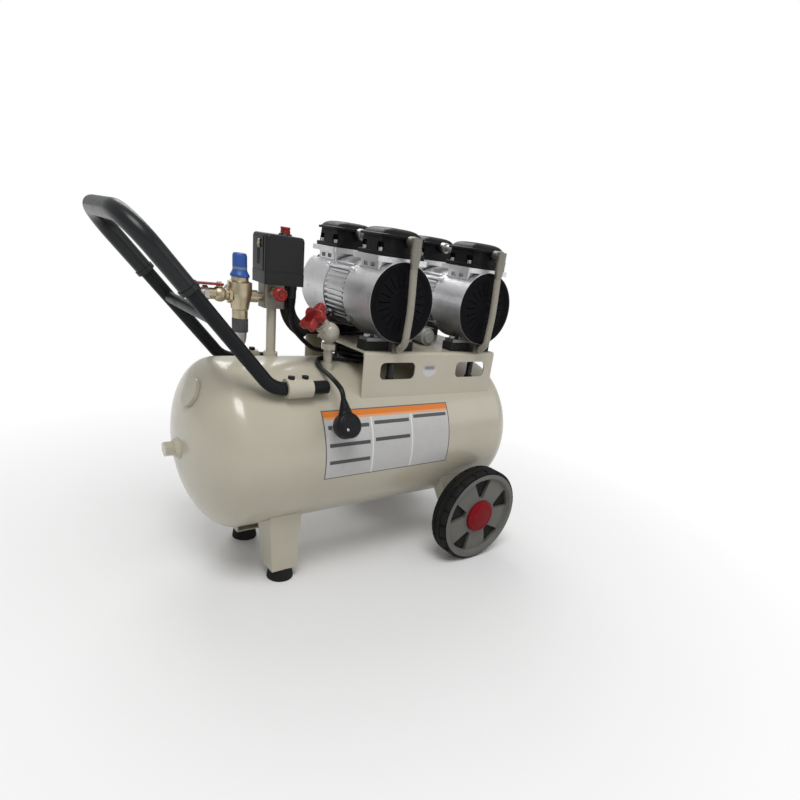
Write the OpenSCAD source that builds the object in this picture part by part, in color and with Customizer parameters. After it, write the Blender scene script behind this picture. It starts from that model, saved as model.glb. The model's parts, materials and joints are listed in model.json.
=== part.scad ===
// Twin-pump portable air compressor on a horizontal tank.
// Millimetres. +X runs along the tank towards the wheels, +Z is up and the floor is z = 0.
// The origin is on the floor, under the middle of the machine's outer box.

/* [Tank] */
// Outer diameter of the tank
tank_d = 270; // [230:5:325]
// Length of the straight shell between the two heads
shell_len = 490; // [440:5:590]
// Sheet thickness of shell and heads
tank_wall = 2.5; // [2:0.5:4]
// Space under the tank
ground_gap = 87; // [80:1:105]

/* [Undercarriage] */
// Distance of the legs from the tank's middle
leg_x = 178; // [150:2:200]
// Distance of the feet's bolts inside the webs of the legs
foot_in = 17; // [15:1:24]
// Height of the rubber feet
foot_h = 21; // [17:1:26]
// Wheel diameter
wheel_d = 186; // [150:2:190]
// Wheel width
wheel_w = 40; // [32:1:50]
// Distance of the axles from the tank's middle
wheel_x = 180; // [160:2:200]
// Gap between each wheel and its bracket
wheel_gap = 32; // [30:1:44]
// Diameter of the axle bolts
axle_d = 12; // [10:1:14]

/* [Handle] */
// Outer diameter of the handle tube
tube_d = 20; // [18:1:24]
// Wall of the handle tube
tube_wall = 1.8; // [1.2:0.1:2.5]
// Distance of each handle leg from the centre plane
handle_y = 98; // [90:1:102]
// Distance of the handle's lower bend from the tank's middle
handle_corner = 207; // [200:1:235]
// Slope of the handle
handle_angle = 49.5; // [40:0.5:60]
// Length of the sloping legs, bend to bend
handle_len = 268; // [250:1:320]
// Radius of the handle's upper bends, to the tube's centre
bend_r = 45; // [40:1:60]
// Radius of the handle's lower bends, to the tube's centre
low_bend_r = 40; // [34:1:44]

/* [Saddle] */
// Length of the saddle beyond the pumps' pads, at each end
saddle_margin = 5.5; // [4:0.5:12]
// Width of the saddle
saddle_w = 198; // [190:1:215]
// Height of the saddle's top above the tank's crown
saddle_gap = 31; // [29:1:40]
// Distance of the saddle's middle from the tank's middle
saddle_x = 87; // [80:1:100]
// Sheet thickness of saddle and brackets
sheet = 2.5; // [2:0.5:4]

/* [Pumps] */
// Distance between the two pumps
pump_pitch = 181; // [172:1:200]
// Height of the pump shafts above the saddle
pump_axis_h = 77; // [77:1:90]
// Outer diameter of the crankcases
case_d = 120; // [118:1:126]
// Length of each motor between its bulkheads
motor_len = 64; // [56:2:76]
// Cylinder bore
bore_d = 50; // [44:1:60]
// Piston stroke
stroke = 13; // [10:0.5:14]
// Height of the cylinder heads
head_h = 40; // [34:1:48]
// Shaft diameter
shaft_d = 15; // [12:1:16]

/* [Air circuit] */
// Diameter of the pipe that carries the pressure switch
standpipe_d = 15; // [13:0.5:18]
// Distance of that pipe from the tank's middle
standpipe_x = 155; // [148:1:165]
// Distance of that pipe behind the centre plane
standpipe_y = 27; // [20:1:34]
// Bore of the hose coupler
coupler_bore = 11; // [8:0.5:12]
// Diameter of the air hoses
hose_d = 11.5; // [10:0.5:13]

/* [Fits] */
// Radial clearance of a running fit
run_fit = 0.05; // [0.02:0.01:0.08]
// Gap between parts that are seated or welded
seat_gap = 0.1; // [0.05:0.05:0.2]

/* [Hidden] */
$fn = 48;

cream = [0.73, 0.69, 0.61];
steel = [0.62, 0.63, 0.65];
alloy = [0.75, 0.76, 0.78];
black = [0.10, 0.10, 0.11];
red = [0.60, 0.10, 0.09];
brass = [0.74, 0.56, 0.30];

// Tank
tank_r = tank_d / 2;
half_shell = shell_len / 2;
head_depth = tank_d / 4;
tank_end = half_shell + head_depth;
tank_z = ground_gap + tank_r;
tank_top = tank_z + tank_r;
bung_r = 17;
bung_out = 6;
plug_hex_r = 11.5;
plug_head_h = 13;
plug_reach = tank_end + bung_out + plug_head_h;

// Handle
socket_r = tube_d / 2 + 4.5;
socket_len = 40;
handle_z = tank_z + sqrt(pow(tank_r + socket_r + seat_gap, 2) - pow(handle_y, 2));
handle_run = handle_len * cos(handle_angle);
low_reach = low_bend_r * tan(handle_angle / 2);
socket_x = -handle_corner + low_reach + 1;
stub_len = 68;
grip_wall = 2;
grip_r = tube_d / 2 + grip_wall;
grip_from = 166;
brace_at = 122;
brace_r = 8;

// The origin sits under the middle of the outer box.
home_x = (handle_corner + handle_run + grip_r - plug_reach) / 2;

// Pumps, each drawn about its shaft, which runs along Y
case_r = case_d / 2;
case_wall = 5;
bulkhead = 6;
half_stator = motor_len / 2;
sleeve_r = bore_d / 2 + 3;
cyl_y = half_stator + bulkhead + sleeve_r;
fan_y = cyl_y + sleeve_r + 1.3;
fan_w = 9;
half_pump = fan_y + fan_w + 5.7;
cover_t = 4.5;
deck_z = 44;
deck_out = cyl_y + sleeve_r + 2;
plate_z = 56;
plate_h = 8;
head_z = plate_z + plate_h;
head_w = 78;
head_l = 76;
head_off = 4;
port_h = 24;
shaft_r = shaft_d / 2;
bearing_r = shaft_r + 10;
bearing_w = 11;
crank_r = stroke / 2;
pin_r = shaft_r + crank_r + 0.5;
rod_r = pin_r + 4;
rod_w = 12;
crown_top = plate_z - 0.5;
crown_h = 5;
rod_top = crown_top - crown_h - stroke - 0.5;
skirt_z = crank_r + rod_r + stroke + 0.5;
core_r = 30.5;
fan_r = 46;
foot_t = 6;
foot_half = 44;
foot_bolt = 38;
pad_y = cyl_y + 10;
pad_half = 48;
pad_w = 26;
pad_h = pump_axis_h - case_r - 3;
saddle_z = tank_top + saddle_gap;
saddle_half = pump_pitch / 2 + pad_half + saddle_margin;
saddle_r = 5;
pump_z = saddle_z + pump_axis_h;
pump_a = saddle_x - pump_pitch / 2;
pump_b = saddle_x + pump_pitch / 2;

// Hoses from the front heads to the tank
hose_x = 6;
hose_y = half_pump + 11;
hose_foot_y = 88;
hose_bend = 20;
check_r = 8;
check_pipe_r = 5.5;
block_z = saddle_z + 7;

// Pressure switch and manifold
switch_x = -standpipe_x + 10;
manifold_z = tank_top + 73;
manifold_h = 36;
manifold_w = 34;
manifold_x = -standpipe_x;
manifold_d = 28;
port_z = manifold_z + 15;
switch_z = manifold_z + manifold_h + seat_gap;
switch_w = 63;
switch_d = 54;
base_h = 18;
cover_h = 51.5;
knob_r = 7.3;
gland_r = 8;
gland_h = 18;
gland_x = switch_x + 17;
gland_ys = [standpipe_y - 13, standpipe_y + 3, standpipe_y + 19];
relief_z = manifold_z + 24;
relief_x = -standpipe_x - 3;

// Regulator and outlet
reg_x = manifold_x - manifold_w / 2 - 33;
reg_r = 17.5;
valve_x = reg_x - reg_r;
valve_len = 30;
lever_x = valve_x - 13;
lever_z = port_z + 12;
coupler_x = valve_x - valve_len;
coupler_len = 26;
coupler_r = 7.6;
sleeve_d = 20;

// Bleed valve
bleed_x = -88;
bleed_y = -40;
bleed_z = tank_top + 49;
bleed_tilt = 37.5;
bleed_r = 9;
bleed_pipe_r = 7;

// Drain
drain_x = -130;
drain_z = tank_z - tank_r - 8;

// Wheels and legs
leg_web_y = tank_r - 40;
foot_y = leg_web_y - foot_in;
foot_r = 22;
bracket_y = tank_r - 17;
wheel_face_y = bracket_y + wheel_gap + wheel_w;
axle_z = wheel_d / 2;
hub_r = 18;
hub_in = wheel_face_y - wheel_w;
rim_r = wheel_d / 2 - 6;
rim_web_z = 12;        // depth of the blind windows, from the rim's outer face
cap_r = 32;

// Power cord: the route's points, then a coil that lies under the saddle
cord_d = 7.6;
cord_in = [
    [-128, 14, 425], [-127.5, 14, 415], [-124.5, 14, 405.5], [-119, 15, 397], [-111, 16.5, 389],
    [-101.5, 19, 381], [-91, 22.5, 373.5], [-79, 27.5, 367], [-65, 33.5, 363], [-51, 38.5, 361.3],
    [-36, 42, 361], [-20, 43.8, 361], [-2, 43.8, 361]];
cord_out = [
    [-21, -38.5, 361], [-34, -32, 361], [-48, -25, 361], [-62, -18, 361], [-75, -15, 361],
    [-88, -18, 360.5], [-99, -26, 359.5], [-105, -38, 357], [-106, -48, 354], [-107, -60, 351.5],
    [-108, -74, 350], [-109.5, -87, 349], [-111, -99, 347.5], [-112, -110, 345.5], [-112, -118, 343],
    [-112, -126, 339.5], [-112, -132.2, 333.8], [-112, -135.8, 325.7]];
lead_d = 7;
lead_a = [
    [-128, 30, 447.9], [-128, 30, 434], [-126, 27, 422.5], [-119.5, 24.5, 412], [-109.5, 22.5, 404],
    [-97, 21, 401.5], [-85.5, 20.5, 404.5], [-74.5, 20, 412.5], [-64.6, 20, 422.2], [-56, 20, 428.2]];
lead_b = [
    [-128, 46, 447.9], [-128, 46, 434], [-126.5, 44, 421], [-120.5, 42, 409.5], [-110.5, 40.5, 400],
    [-98, 39.5, 394], [-82, 39, 392], [-62, 38.5, 392], [-38, 38, 392], [-14, 38, 392], [10, 38, 392], [34, 38, 392],
    [58, 38, 392], [82, 37, 392], [104, 33, 392], [118, 27, 393.5], [126.5, 23, 397],
    [133, 21, 402], [140.3, 20, 411.8]];
coil_at = [-2, 0, tank_top + 0.3];
coil_in = 32.5;
coil_out = 47.6;
coil_h = 22.8;
plug_at = [-112, -151.9, 289.6];
plug_tilt = 66;
plug_r = 19.5;
plug_t = 24;
plug_neck = 39.5;

// ---------------------------------------------------------------- helpers

// Everything is modelled from the tank's middle and moved home at the end.
module home() { translate([home_x, 0, 0]) children(); }
module both_sides() { children(); mirror([0, 1, 0]) children(); }
module at_pumps() { for (x = [pump_a, pump_b]) translate([x, 0, pump_z]) children(); }
module along_x() { rotate([0, 90, 0]) children(); }
module along_y() { rotate([-90, 0, 0]) children(); }

module ring(outer, inner, h) {
    difference() {
        cylinder(r = outer, h = h);
        translate([0, 0, -1]) cylinder(r = inner, h = h + 2);
    }
}

// Points along an arc, and a rectangle with round corners.
function arc(x, y, r, from, to, n = 6) =
    [for (i = [0:n]) let (a = from + (to - from) * i / n) [x + r * cos(a), y + r * sin(a)]];
function rounded(w, d, r) = concat(arc(w / 2 - r, d / 2 - r, r, 0, 90), arc(r - w / 2, d / 2 - r, r, 90, 180),
    arc(r - w / 2, r - d / 2, r, 180, 270), arc(w / 2 - r, r - d / 2, r, 270, 360));
module slab(w, d, h, r) { linear_extrude(h) polygon(rounded(w, d, r)); }

module hex(across_corners_r, h) { cylinder(r = across_corners_r, h = h, $fn = 6); }

// Height of the tank's surface at a distance y from its centre plane.
function tank_side_z(y) = tank_z + sqrt(tank_r * tank_r - y * y);

// Half of a head's outline, from the port at the pole to the shell.
function head_arc(radius, depth, port, steps) =
    [for (i = [0:steps]) let (a = asin(port / radius) + (90 - asin(port / radius)) * i / steps)
        [radius * sin(a), half_shell + depth * cos(a)]];
function reversed(list) = [for (i = [len(list) - 1:-1:0]) list[i]];
function flipped(list) = [for (p = list) [p[0], -p[1]]];

// Frames along a route, carried from ring to ring, for a swept round tube.
function unit(v) = v / norm(v);
function tangent(p, i) = unit(p[min(i + 1, len(p) - 1)] - p[max(i - 1, 0)]);
function side_start(t) = unit(cross(t, abs(t[2]) < 0.9 ? [0, 0, 1] : [1, 0, 0]));
function carried(p, i, s) = let (t = tangent(p, i)) unit(s - (s * t) * t);
function sides(p) = [for (i = 0, s = side_start(tangent(p, 0)); i < len(p);
    i = i + 1, s = i < len(p) ? carried(p, i, s) : s) s];

module tube_along(p, d, n = 8) {
    s = sides(p);
    points = [for (i = [0:len(p) - 1]) let (t = tangent(p, i), u = s[i], v = cross(t, u))
        for (k = [0:n - 1]) p[i] + d / 2 * (cos(360 * k / n) * u + sin(360 * k / n) * v)];
    last = (len(p) - 1) * n;
    walls = [for (i = [0:len(p) - 2], k = [0:n - 1])
        let (a = i * n + k, b = i * n + (k + 1) % n) [a, a + n, b + n, b]];
    polyhedron(points, concat(walls, [[for (k = [0:n - 1]) k]], [[for (k = [n - 1:-1:0]) last + k]]));
}

// ---------------------------------------------------------------- tank

module tank_shell() {
    outer = head_arc(tank_r, head_depth, bung_r + seat_gap, 14);
    inner = head_arc(tank_r - tank_wall, head_depth - tank_wall, bung_r + seat_gap, 14);
    outline = concat(outer, reversed(flipped(outer)), flipped(inner), reversed(inner));
    color(cream) difference() {
        translate([0, 0, tank_z]) along_x() rotate_extrude() polygon(outline);
        for (p = top_ports) translate([p[0], p[1], tank_z]) cylinder(r = p[2] + seat_gap, h = tank_r + 5);
        translate([drain_x, 0, tank_z - tank_r - 5]) cylinder(r = 10 + seat_gap, h = 20);
    }
}

// Ports on top of the tank: place, outer radius and bore of each socket
top_ports = [[-standpipe_x, standpipe_y, 11, standpipe_d / 2 + run_fit],
    [bleed_x, bleed_y, 10, bleed_pipe_r + run_fit],
    for (x = [pump_a, pump_b]) [x + hose_x, -hose_foot_y, check_r, check_pipe_r + run_fit]];

// Welded sockets that the plugs and pipes screw into, the end plugs, and the pad on the left head
module tank_fittings() {
    color(cream) {
        for (s = [0, 1]) mirror([s, 0, 0]) translate([tank_end, 0, tank_z]) along_x() {
            rotate_extrude() polygon([[9 + run_fit, -8], [bung_r, -8], [bung_r, 0], [13, bung_out], [9 + run_fit, bung_out]]);
            translate([0, 0, bung_out - 12]) cylinder(r = 9, h = 12);
            translate([0, 0, bung_out]) hex(plug_hex_r, plug_head_h);
        }
        for (p = top_ports) top_socket(p[0], p[1], p[2], p[3]);
        translate([drain_x, 0, drain_z]) ring(10, 6 + run_fit, 12);
        head_pad();
    }
}

module top_socket(x, y, r, bore) {
    low = tank_side_z(abs(y) + r) - 3;
    translate([x, y, low]) ring(r, bore, tank_side_z(abs(y)) + 7 - low);
}

// Round boss on the left head, above the plug
pad_up = 90;
module head_pad() {
    x = half_shell + head_depth * sqrt(1 - pow(pad_up / tank_r, 2));
    lean = atan2(head_depth * pad_up, tank_r * sqrt(pow(tank_r, 2) - pow(pad_up, 2)));
    skin = head_arc(tank_r + 3 * seat_gap, head_depth + 3 * seat_gap, 3, 14);
    difference() {
        translate([-x, -16, tank_z + pad_up]) rotate([0, lean - 90, 0]) translate([0, 0, -5]) cylinder(r = 22, h = 7.5);
        translate([0, 0, tank_z]) along_x() rotate_extrude()
            polygon(concat([[0, tank_end]], skin, reversed(flipped(skin)), [[0, -tank_end]]));
    }
}

module drain_valve() {
    color(brass) translate([drain_x, 0, drain_z]) difference() {
        union() {
            translate([0, 0, -16]) cylinder(r = 6, h = 24);
            translate([0, 0, -6]) hex(9, 5.9);
            translate([0, 0, -11]) rotate([90, 0, 0]) cylinder(r = 3.5, h = 15);
        }
        translate([0, 0, -30]) cylinder(r = 2.5, h = 50);
        translate([0, 0, -11]) rotate([90, 0, 0]) cylinder(r = 1.5, h = 16);
    }
}

module drain_knob() {
    color(brass) translate([drain_x, 0, drain_z - 22]) {
        cylinder(r = 2.5 - run_fit, h = 12);
        translate([0, 0, -6]) cylinder(r = 6, h = 11);
        translate([-12, -1.5, -8]) cube([24, 3, 10]);
    }
}

// ---------------------------------------------------------------- undercarriage

// Channel bracket on the front side: an outer web that tapers to its foot, with two inward flanges
module channel(top_w, foot_w, z0, z1, web_y, depth_top, depth_foot) {
    web = [[-foot_w / 2, z0], [foot_w / 2, z0], [top_w / 2, z1], [-top_w / 2, z1]];
    hollow = [[-foot_w / 2 + sheet, z0 - 1], [foot_w / 2 - sheet, z0 - 1],
        [top_w / 2 - sheet, z1 + 1], [-top_w / 2 + sheet, z1 + 1]];
    difference() {
        intersection() {
            translate([0, depth_top - web_y, 0]) rotate([90, 0, 0]) linear_extrude(depth_top) polygon(web);
            translate([-top_w, -web_y, 0]) rotate([90, 0, 90]) linear_extrude(2 * top_w)
                polygon([[0, z0], [depth_foot, z0], [depth_top, z1 - 30], [depth_top, z1], [0, z1]]);
        }
        translate([0, depth_top + sheet - web_y, 0]) rotate([90, 0, 0]) linear_extrude(depth_top) polygon(hollow);
    }
}

module tank_cut() { translate([-400, 0, tank_z]) along_x() cylinder(r = tank_r + seat_gap, h = 800); }

module leg_brackets() {
    color(cream) both_sides() difference() {
        union() {
            translate([-leg_x, 0, 0]) channel(56, 44, foot_h, tank_z - 78, leg_web_y, 54, 38);
            translate([-leg_x - 22, -leg_web_y, foot_h]) cube([44, 38, 3]);
        }
        tank_cut();
        translate([-leg_x, -foot_y, foot_h - 5]) cylinder(r = 4 + seat_gap, h = 20);
    }
}

module wheel_brackets() {
    color(cream) both_sides() difference() {
        translate([wheel_x, 0, 0]) channel(116, 44, axle_z - 20, tank_z - 55, bracket_y, 34, 22);
        tank_cut();
        translate([wheel_x, -bracket_y - 10, axle_z]) along_y() cylinder(r = axle_d / 2 + seat_gap, h = 20);
    }
}

module rubber_feet() {
    color(black) both_sides() translate([-leg_x, -foot_y, 0]) difference() {
        rotate_extrude() polygon([[4 + seat_gap, 0], [foot_r, 0], [foot_r, 3], [foot_r - 3, foot_h - seat_gap],
            [4 + seat_gap, foot_h - seat_gap]]);
        translate([0, 0, -1]) cylinder(r = 8, h = 11);
    }
}

// Foot bolts and nuts, handle screws, pump bolts and the screws of the cylinder heads
module bolts() {
    color(steel) {
        both_sides() translate([-leg_x, -foot_y, 0]) {
            translate([0, 0, 4.4]) hex(6.5, 5.5);
            translate([0, 0, 9.9]) cylinder(r = 4, h = foot_h + 2);
            translate([0, 0, foot_h + 3 + seat_gap]) ring(6.5, 4 + run_fit, 6.5);
        }
        both_sides() for (x = handle_screws) translate([x, -handle_y, handle_z + tube_d / 2 + seat_gap]) {
            cylinder(r = 3, h = 4);
            translate([0, 0, 3]) cylinder(r = 5, h = 5);
        }
        at_pumps() both_sides() {
            for (s = [-1, 1]) translate([s * foot_bolt, -pad_y, foot_t - case_r - 3 + seat_gap]) {
                translate([0, 0, -foot_t - pad_h - 12]) cylinder(r = 3, h = foot_t + pad_h + 13);
                hex(5.5, 4.5);
            }
            for (p = head_screws) translate([p[0], p[1] - cyl_y, head_z + 6 + seat_gap]) {
                cylinder(r = 4.5, h = 5);
                translate([0, 0, -6 - plate_h - 8]) cylinder(r = 3, h = 6 + plate_h + 9);
            }
        }
    }
}
handle_screws = [socket_x + 9, socket_x + socket_len - 9];
head_screws = [for (x = [-1, 1], y = [-1, 1]) [x * 33, y * (bore_d / 2 - 3)]];

module axle_hardware() {
    color(steel) both_sides() translate([wheel_x, 0, axle_z]) {
        translate([0, -wheel_face_y + 7, 0]) along_y() hex(10.5, 6);
        translate([0, -wheel_face_y + 12, 0]) along_y()
            cylinder(r = axle_d / 2, h = wheel_face_y - 12 - bracket_y + 16);
        translate([0, -hub_in + 0.3, 0]) along_y() ring(11, axle_d / 2 + run_fit, hub_in - bracket_y - 0.4);
        translate([0, -bracket_y + sheet + seat_gap, 0]) along_y() ring(11, axle_d / 2 + run_fit, 9);
    }
}

// A wheel's parts are drawn with the outer face at z = 0 and the inner face at z = wheel_w.
module on_axle(s) { translate([wheel_x, s * wheel_face_y, axle_z]) rotate([s * 90, 0, 0]) children(); }

module tyre() {
    color(black) rotate_extrude() polygon([[rim_r + run_fit, 1], [rim_r + 3, 1], [wheel_d / 2, 6],
        [wheel_d / 2, wheel_w - 6], [rim_r + 3, wheel_w - 1], [rim_r + run_fit, wheel_w - 1]]);
}

module rim() {
    spoke_in = cap_r + 6;
    spoke_out = rim_r - 13;
    color([0.37, 0.37, 0.36]) difference() {
        rotate_extrude() polygon([[axle_d / 2 + run_fit, 13.5], [14, 13.5], [14, 5], [cap_r + 3, 5],
            [spoke_out, 6], [rim_r - 8, 0], [rim_r, 0], [rim_r, wheel_w], [rim_r - 8, wheel_w],
            [rim_r - 11, 16], [hub_r, 14], [hub_r, wheel_w], [axle_d / 2 + run_fit, wheel_w]]);
        for (i = [0:4]) rotate([0, 0, 72 * i + 50]) translate([0, 0, -1]) linear_extrude(rim_web_z + 1)
            polygon([[spoke_in, -5], [spoke_out - 3, -20], [spoke_out, -14], [spoke_out, 14],
                [spoke_out - 3, 20], [spoke_in, 5]]);
    }
}

module hub_cap() {
    color(red) translate([0, 0, -4]) rotate_extrude() polygon([[0, 0], [14, 0.4], [cap_r - 6, 1.6],
        [cap_r, 5], [cap_r, 9 - seat_gap], [0, 9 - seat_gap]]);
}

module tyre_front() { on_axle(-1) tyre(); }
module rim_front() { on_axle(-1) rim(); }
module hub_cap_front() { on_axle(-1) hub_cap(); }
module tyre_rear() { on_axle(1) tyre(); }
module rim_rear() { on_axle(1) rim(); }
module hub_cap_rear() { on_axle(1) hub_cap(); }

// ---------------------------------------------------------------- handle

module on_slope() { translate([-handle_corner, 0, handle_z]) rotate([0, handle_angle, 0]) children(); }

// Round bar along the handle's U, from a distance up the slope on each side
module u_bar(r, from) {
    on_slope() {
        both_sides() {
            translate([bend_r - handle_len, -handle_y, 0]) along_x() cylinder(r = r, h = handle_len - bend_r - from);
            translate([bend_r - handle_len, bend_r - handle_y, 0]) rotate([0, 0, 180])
                rotate_extrude(angle = 90) translate([bend_r, 0]) circle(r = r);
        }
        translate([-handle_len, bend_r - handle_y, 0]) along_y() cylinder(r = r, h = 2 * (handle_y - bend_r));
    }
}

module joint_band(r, at) { both_sides() translate([at - 0.6, -handle_y, 0]) along_x() cylinder(r = r + 0.04, h = 1.2); }

module handle_bar(r, past_end) {
    u_bar(r, low_reach);
    on_slope() joint_band(r, -low_reach);
    translate([low_reach - handle_corner, 0, handle_z]) {
        joint_band(r, 0);
        both_sides() translate([0, -handle_y, 0]) {
            along_x() cylinder(r = r, h = stub_len + past_end);
            translate([0, 0, low_bend_r]) rotate([90, 0, 0]) rotate([0, 0, 270 - handle_angle])
                rotate_extrude(angle = handle_angle) translate([low_bend_r, 0]) circle(r = r);
        }
    }
}

module handle_frame() {
    color(black) {
        difference() {
            handle_bar(tube_d / 2, 0);
            handle_bar(tube_d / 2 - tube_wall, 1);
        }
        on_slope() difference() {
            translate([-brace_at, -handle_y, 0]) along_y() cylinder(r = brace_r, h = 2 * handle_y);
            both_sides() translate([-handle_len / 2, -handle_y, 0]) along_x()
                cylinder(r = tube_d / 2 + seat_gap, h = handle_len / 3);
        }
    }
}

module handle_grip() {
    color(black) difference() {
        union() {
            u_bar(grip_r, grip_from);
            on_slope() both_sides() translate([-grip_from - 6, -handle_y, 0]) along_x() cylinder(r = grip_r + 1.5, h = 6);
        }
        u_bar(tube_d / 2 + run_fit, grip_from - 1);
    }
}

module handle_sockets() {
    color(cream) both_sides() difference() {
        translate([socket_x, -handle_y, handle_z]) along_x() ring(socket_r, tube_d / 2 + run_fit, socket_len);
        for (x = handle_screws) translate([x, -handle_y, handle_z]) {
            cylinder(r = 3 + seat_gap, h = socket_r + 1);
            translate([0, 0, tube_d / 2 + 3]) cylinder(r = 5 + seat_gap, h = socket_r);
        }
    }
}

// ---------------------------------------------------------------- saddle

// Cross-section of the saddle in the YZ plane, from skirt to skirt
function saddle_section(half, top, r) = concat([[half, tank_z + 50]], arc(half - r, top - r, r, 0, 90),
    arc(r - half, top - r, r, 90, 180), [[-half, tank_z + 50]]);

module saddle_bar(half, top, r, len) {
    translate([saddle_x - len / 2, 0, 0]) rotate([90, 0, 90]) linear_extrude(len) polygon(saddle_section(half, top, r));
}

slot_xs = [-76, 88];
slot_w = 71;
slot_h = 28;
module saddle() {
    color(cream) difference() {
        saddle_bar(saddle_w / 2, saddle_z, saddle_r, 2 * saddle_half);
        saddle_bar(saddle_w / 2 - sheet, saddle_z - sheet, saddle_r - sheet, 2 * saddle_half + 2);
        tank_cut();
        for (x = slot_xs) translate([saddle_x + x, 150, saddle_z - 31]) rotate([90, 0, 0]) slab(slot_w, slot_h, 300, 9);
        for (x = [pump_a, pump_b]) {
            translate([x + hose_x, -hose_foot_y, saddle_z - 10]) cylinder(r = check_pipe_r + 0.5, h = 20);
            both_sides() for (s = [-1, 1]) translate([x + s * foot_bolt, -pad_y, saddle_z - 10])
                cylinder(r = 3 + seat_gap, h = 20);
        }
    }
}

module motor_pads() {
    color(black) at_pumps() both_sides() difference() {
        translate([0, -pad_y, seat_gap / 2 - pump_axis_h]) slab(2 * pad_half, pad_w, pad_h - seat_gap, 3);
        for (s = [-1, 1]) translate([s * foot_bolt, -pad_y, -pump_axis_h - 1]) cylinder(r = 3 + seat_gap, h = pad_h + 2);
        translate([hose_x - 11, -half_pump, -pump_axis_h - 1]) cube([22, half_pump - hose_foot_y + 9, pad_h + 2]);
    }
}

// ---------------------------------------------------------------- pumps

module case_end() {
    difference() {
        union() {
            difference() {
                translate([0, -half_pump, 0]) along_y() cylinder(r = case_r, h = half_pump - half_stator - seat_gap);
                translate([0, -half_pump - 1, 0]) along_y()
                    cylinder(r = case_r - case_wall, h = half_pump - half_stator - bulkhead + 1);
                translate([-case_r, -deck_out, deck_z]) cube([2 * case_r, deck_out, case_r]);
                translate([-case_r, -cyl_y - head_l / 2 - 0.3, plate_z]) cube([2 * case_r, head_l + 0.6, case_r]);
            }
            translate([-40, -deck_out, deck_z - 6]) cube([80, deck_out - half_stator - 3, 6]);
            translate([0, -half_stator - bearing_w, 0]) along_y() cylinder(r = bearing_r + 4.5, h = bearing_w - 2);
            translate([-foot_half, -pad_y - 11, -case_r - 3]) cube([2 * foot_half, 22, foot_t]);
            translate([-30, -pad_y - 9, -case_r - 1]) cube([60, 18, 10]);
        }
        translate([0, -half_pump - 1, 0]) along_y() cylinder(r = bearing_r + run_fit, h = half_pump);
        translate([0, -cyl_y, 0]) cylinder(r = sleeve_r + seat_gap, h = case_r);
        for (s = [-1, 1]) translate([s * foot_bolt, -pad_y, -case_r - 5]) cylinder(r = 3 + seat_gap, h = 12);
    }
}

module crankcases() { color(alloy) at_pumps() both_sides() case_end(); }

// Finned housing around each motor, with the boss where its lead goes in
lead_boss = [[215, lead_a], [235, lead_b]];
module motor_housings() {
    color(alloy) for (i = [0, 1]) translate([[pump_a, pump_b][i], 0, pump_z]) difference() {
        union() {
            translate([0, -half_stator, 0]) along_y() cylinder(r = case_r - 4.5, h = motor_len);
            for (s = [0, 1], a = [-56:8:48]) mirror([s, 0, 0]) rotate([0, -a, 0])
                translate([case_r - 8, -half_stator + 4, -1.5]) cube([8, motor_len - 8, 3]);
            rotate([0, -lead_boss[i][0], 0]) translate([case_r - 7, 20, 0]) along_x() cylinder(r = 6, h = 11);
        }
        translate([0, -half_stator - 1, 0]) along_y() cylinder(r = case_r - 10, h = motor_len + 2);
    }
}

module stators() {
    r = case_r - 10 - seat_gap;
    at_pumps() {
        color(steel) translate([0, -24, 0]) along_y() ring(r, core_r + 0.5, 48);
        color([0.65, 0.35, 0.18]) both_sides() translate([0, -31, 0]) along_y() ring(r - 2, core_r + 2.5, 6.9);
    }
}

module bearings() {
    color(steel) at_pumps() both_sides() translate([0, -half_stator - bearing_w, 0]) along_y()
        ring(bearing_r, shaft_r + run_fit, bearing_w - seat_gap);
}

block_l = bore_d + 5.4;
module cylinders() {
    color(alloy) at_pumps() both_sides() translate([0, -cyl_y, 0]) {
        difference() {
            union() {
                translate([0, 0, 24]) cylinder(r = sleeve_r, h = plate_z - 24);
                translate([0, 0, deck_z + seat_gap]) slab(76, block_l, plate_z - deck_z - seat_gap, 4);
            }
            cylinder(r = bore_d / 2, h = plate_z + 1);
            for (x = [-1, 1], y = [-1, 1]) translate([x * 36 - 5, y * 10 - 6, deck_z + 3]) cube([10, 12, 6]);
            for (p = head_screws) translate([p[0], p[1], deck_z + 1]) cylinder(r = 3 + seat_gap, h = 20);
        }
        translate([0, 0, plate_z + seat_gap]) difference() {
            slab(92, head_l, plate_h - 2 * seat_gap, 5);
            for (p = head_screws) translate([p[0], p[1], -1]) cylinder(r = 3 + seat_gap, h = 20);
            for (x = [-12, 12]) translate([x, 0, -1]) cylinder(r = 4, h = 20);
        }
    }
}

// Each head: a flange, a hollow body with pockets for its screws, and a cover on top
module heads() {
    body_h = head_h - 10;
    color(black) at_pumps() both_sides() translate([0, -cyl_y, head_z]) {
        difference() {
            union() {
                slab(head_w, head_l, 6, 4);
                slab(head_w - 4, head_l - 4, body_h, 6);
            }
            translate([0, 0, -1]) slab(44, head_l - 14, body_h - 4, 4);
            for (p = head_screws) translate([p[0], p[1], -1]) cylinder(r = 3 + seat_gap, h = 20);
            for (p = head_screws) translate([p[0] + sign(p[0]) * 10 - 16, p[1] - 6, 6]) cube([32, 12, body_h - 11]);
            translate([hose_x, 0, port_h]) rotate([90, 0, 0]) cylinder(r = 5, h = head_l);
            translate([0, 0, port_h]) along_y() cylinder(r = 6 + seat_gap, h = head_l);
        }
        translate([0, 0, body_h + seat_gap]) slab(head_w + 2, head_l + 2, 5, 6);
        translate([0, 0, body_h + seat_gap + 5]) slab(head_w - 6, head_l - 6, 5 - seat_gap, 8);
    }
}

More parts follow.
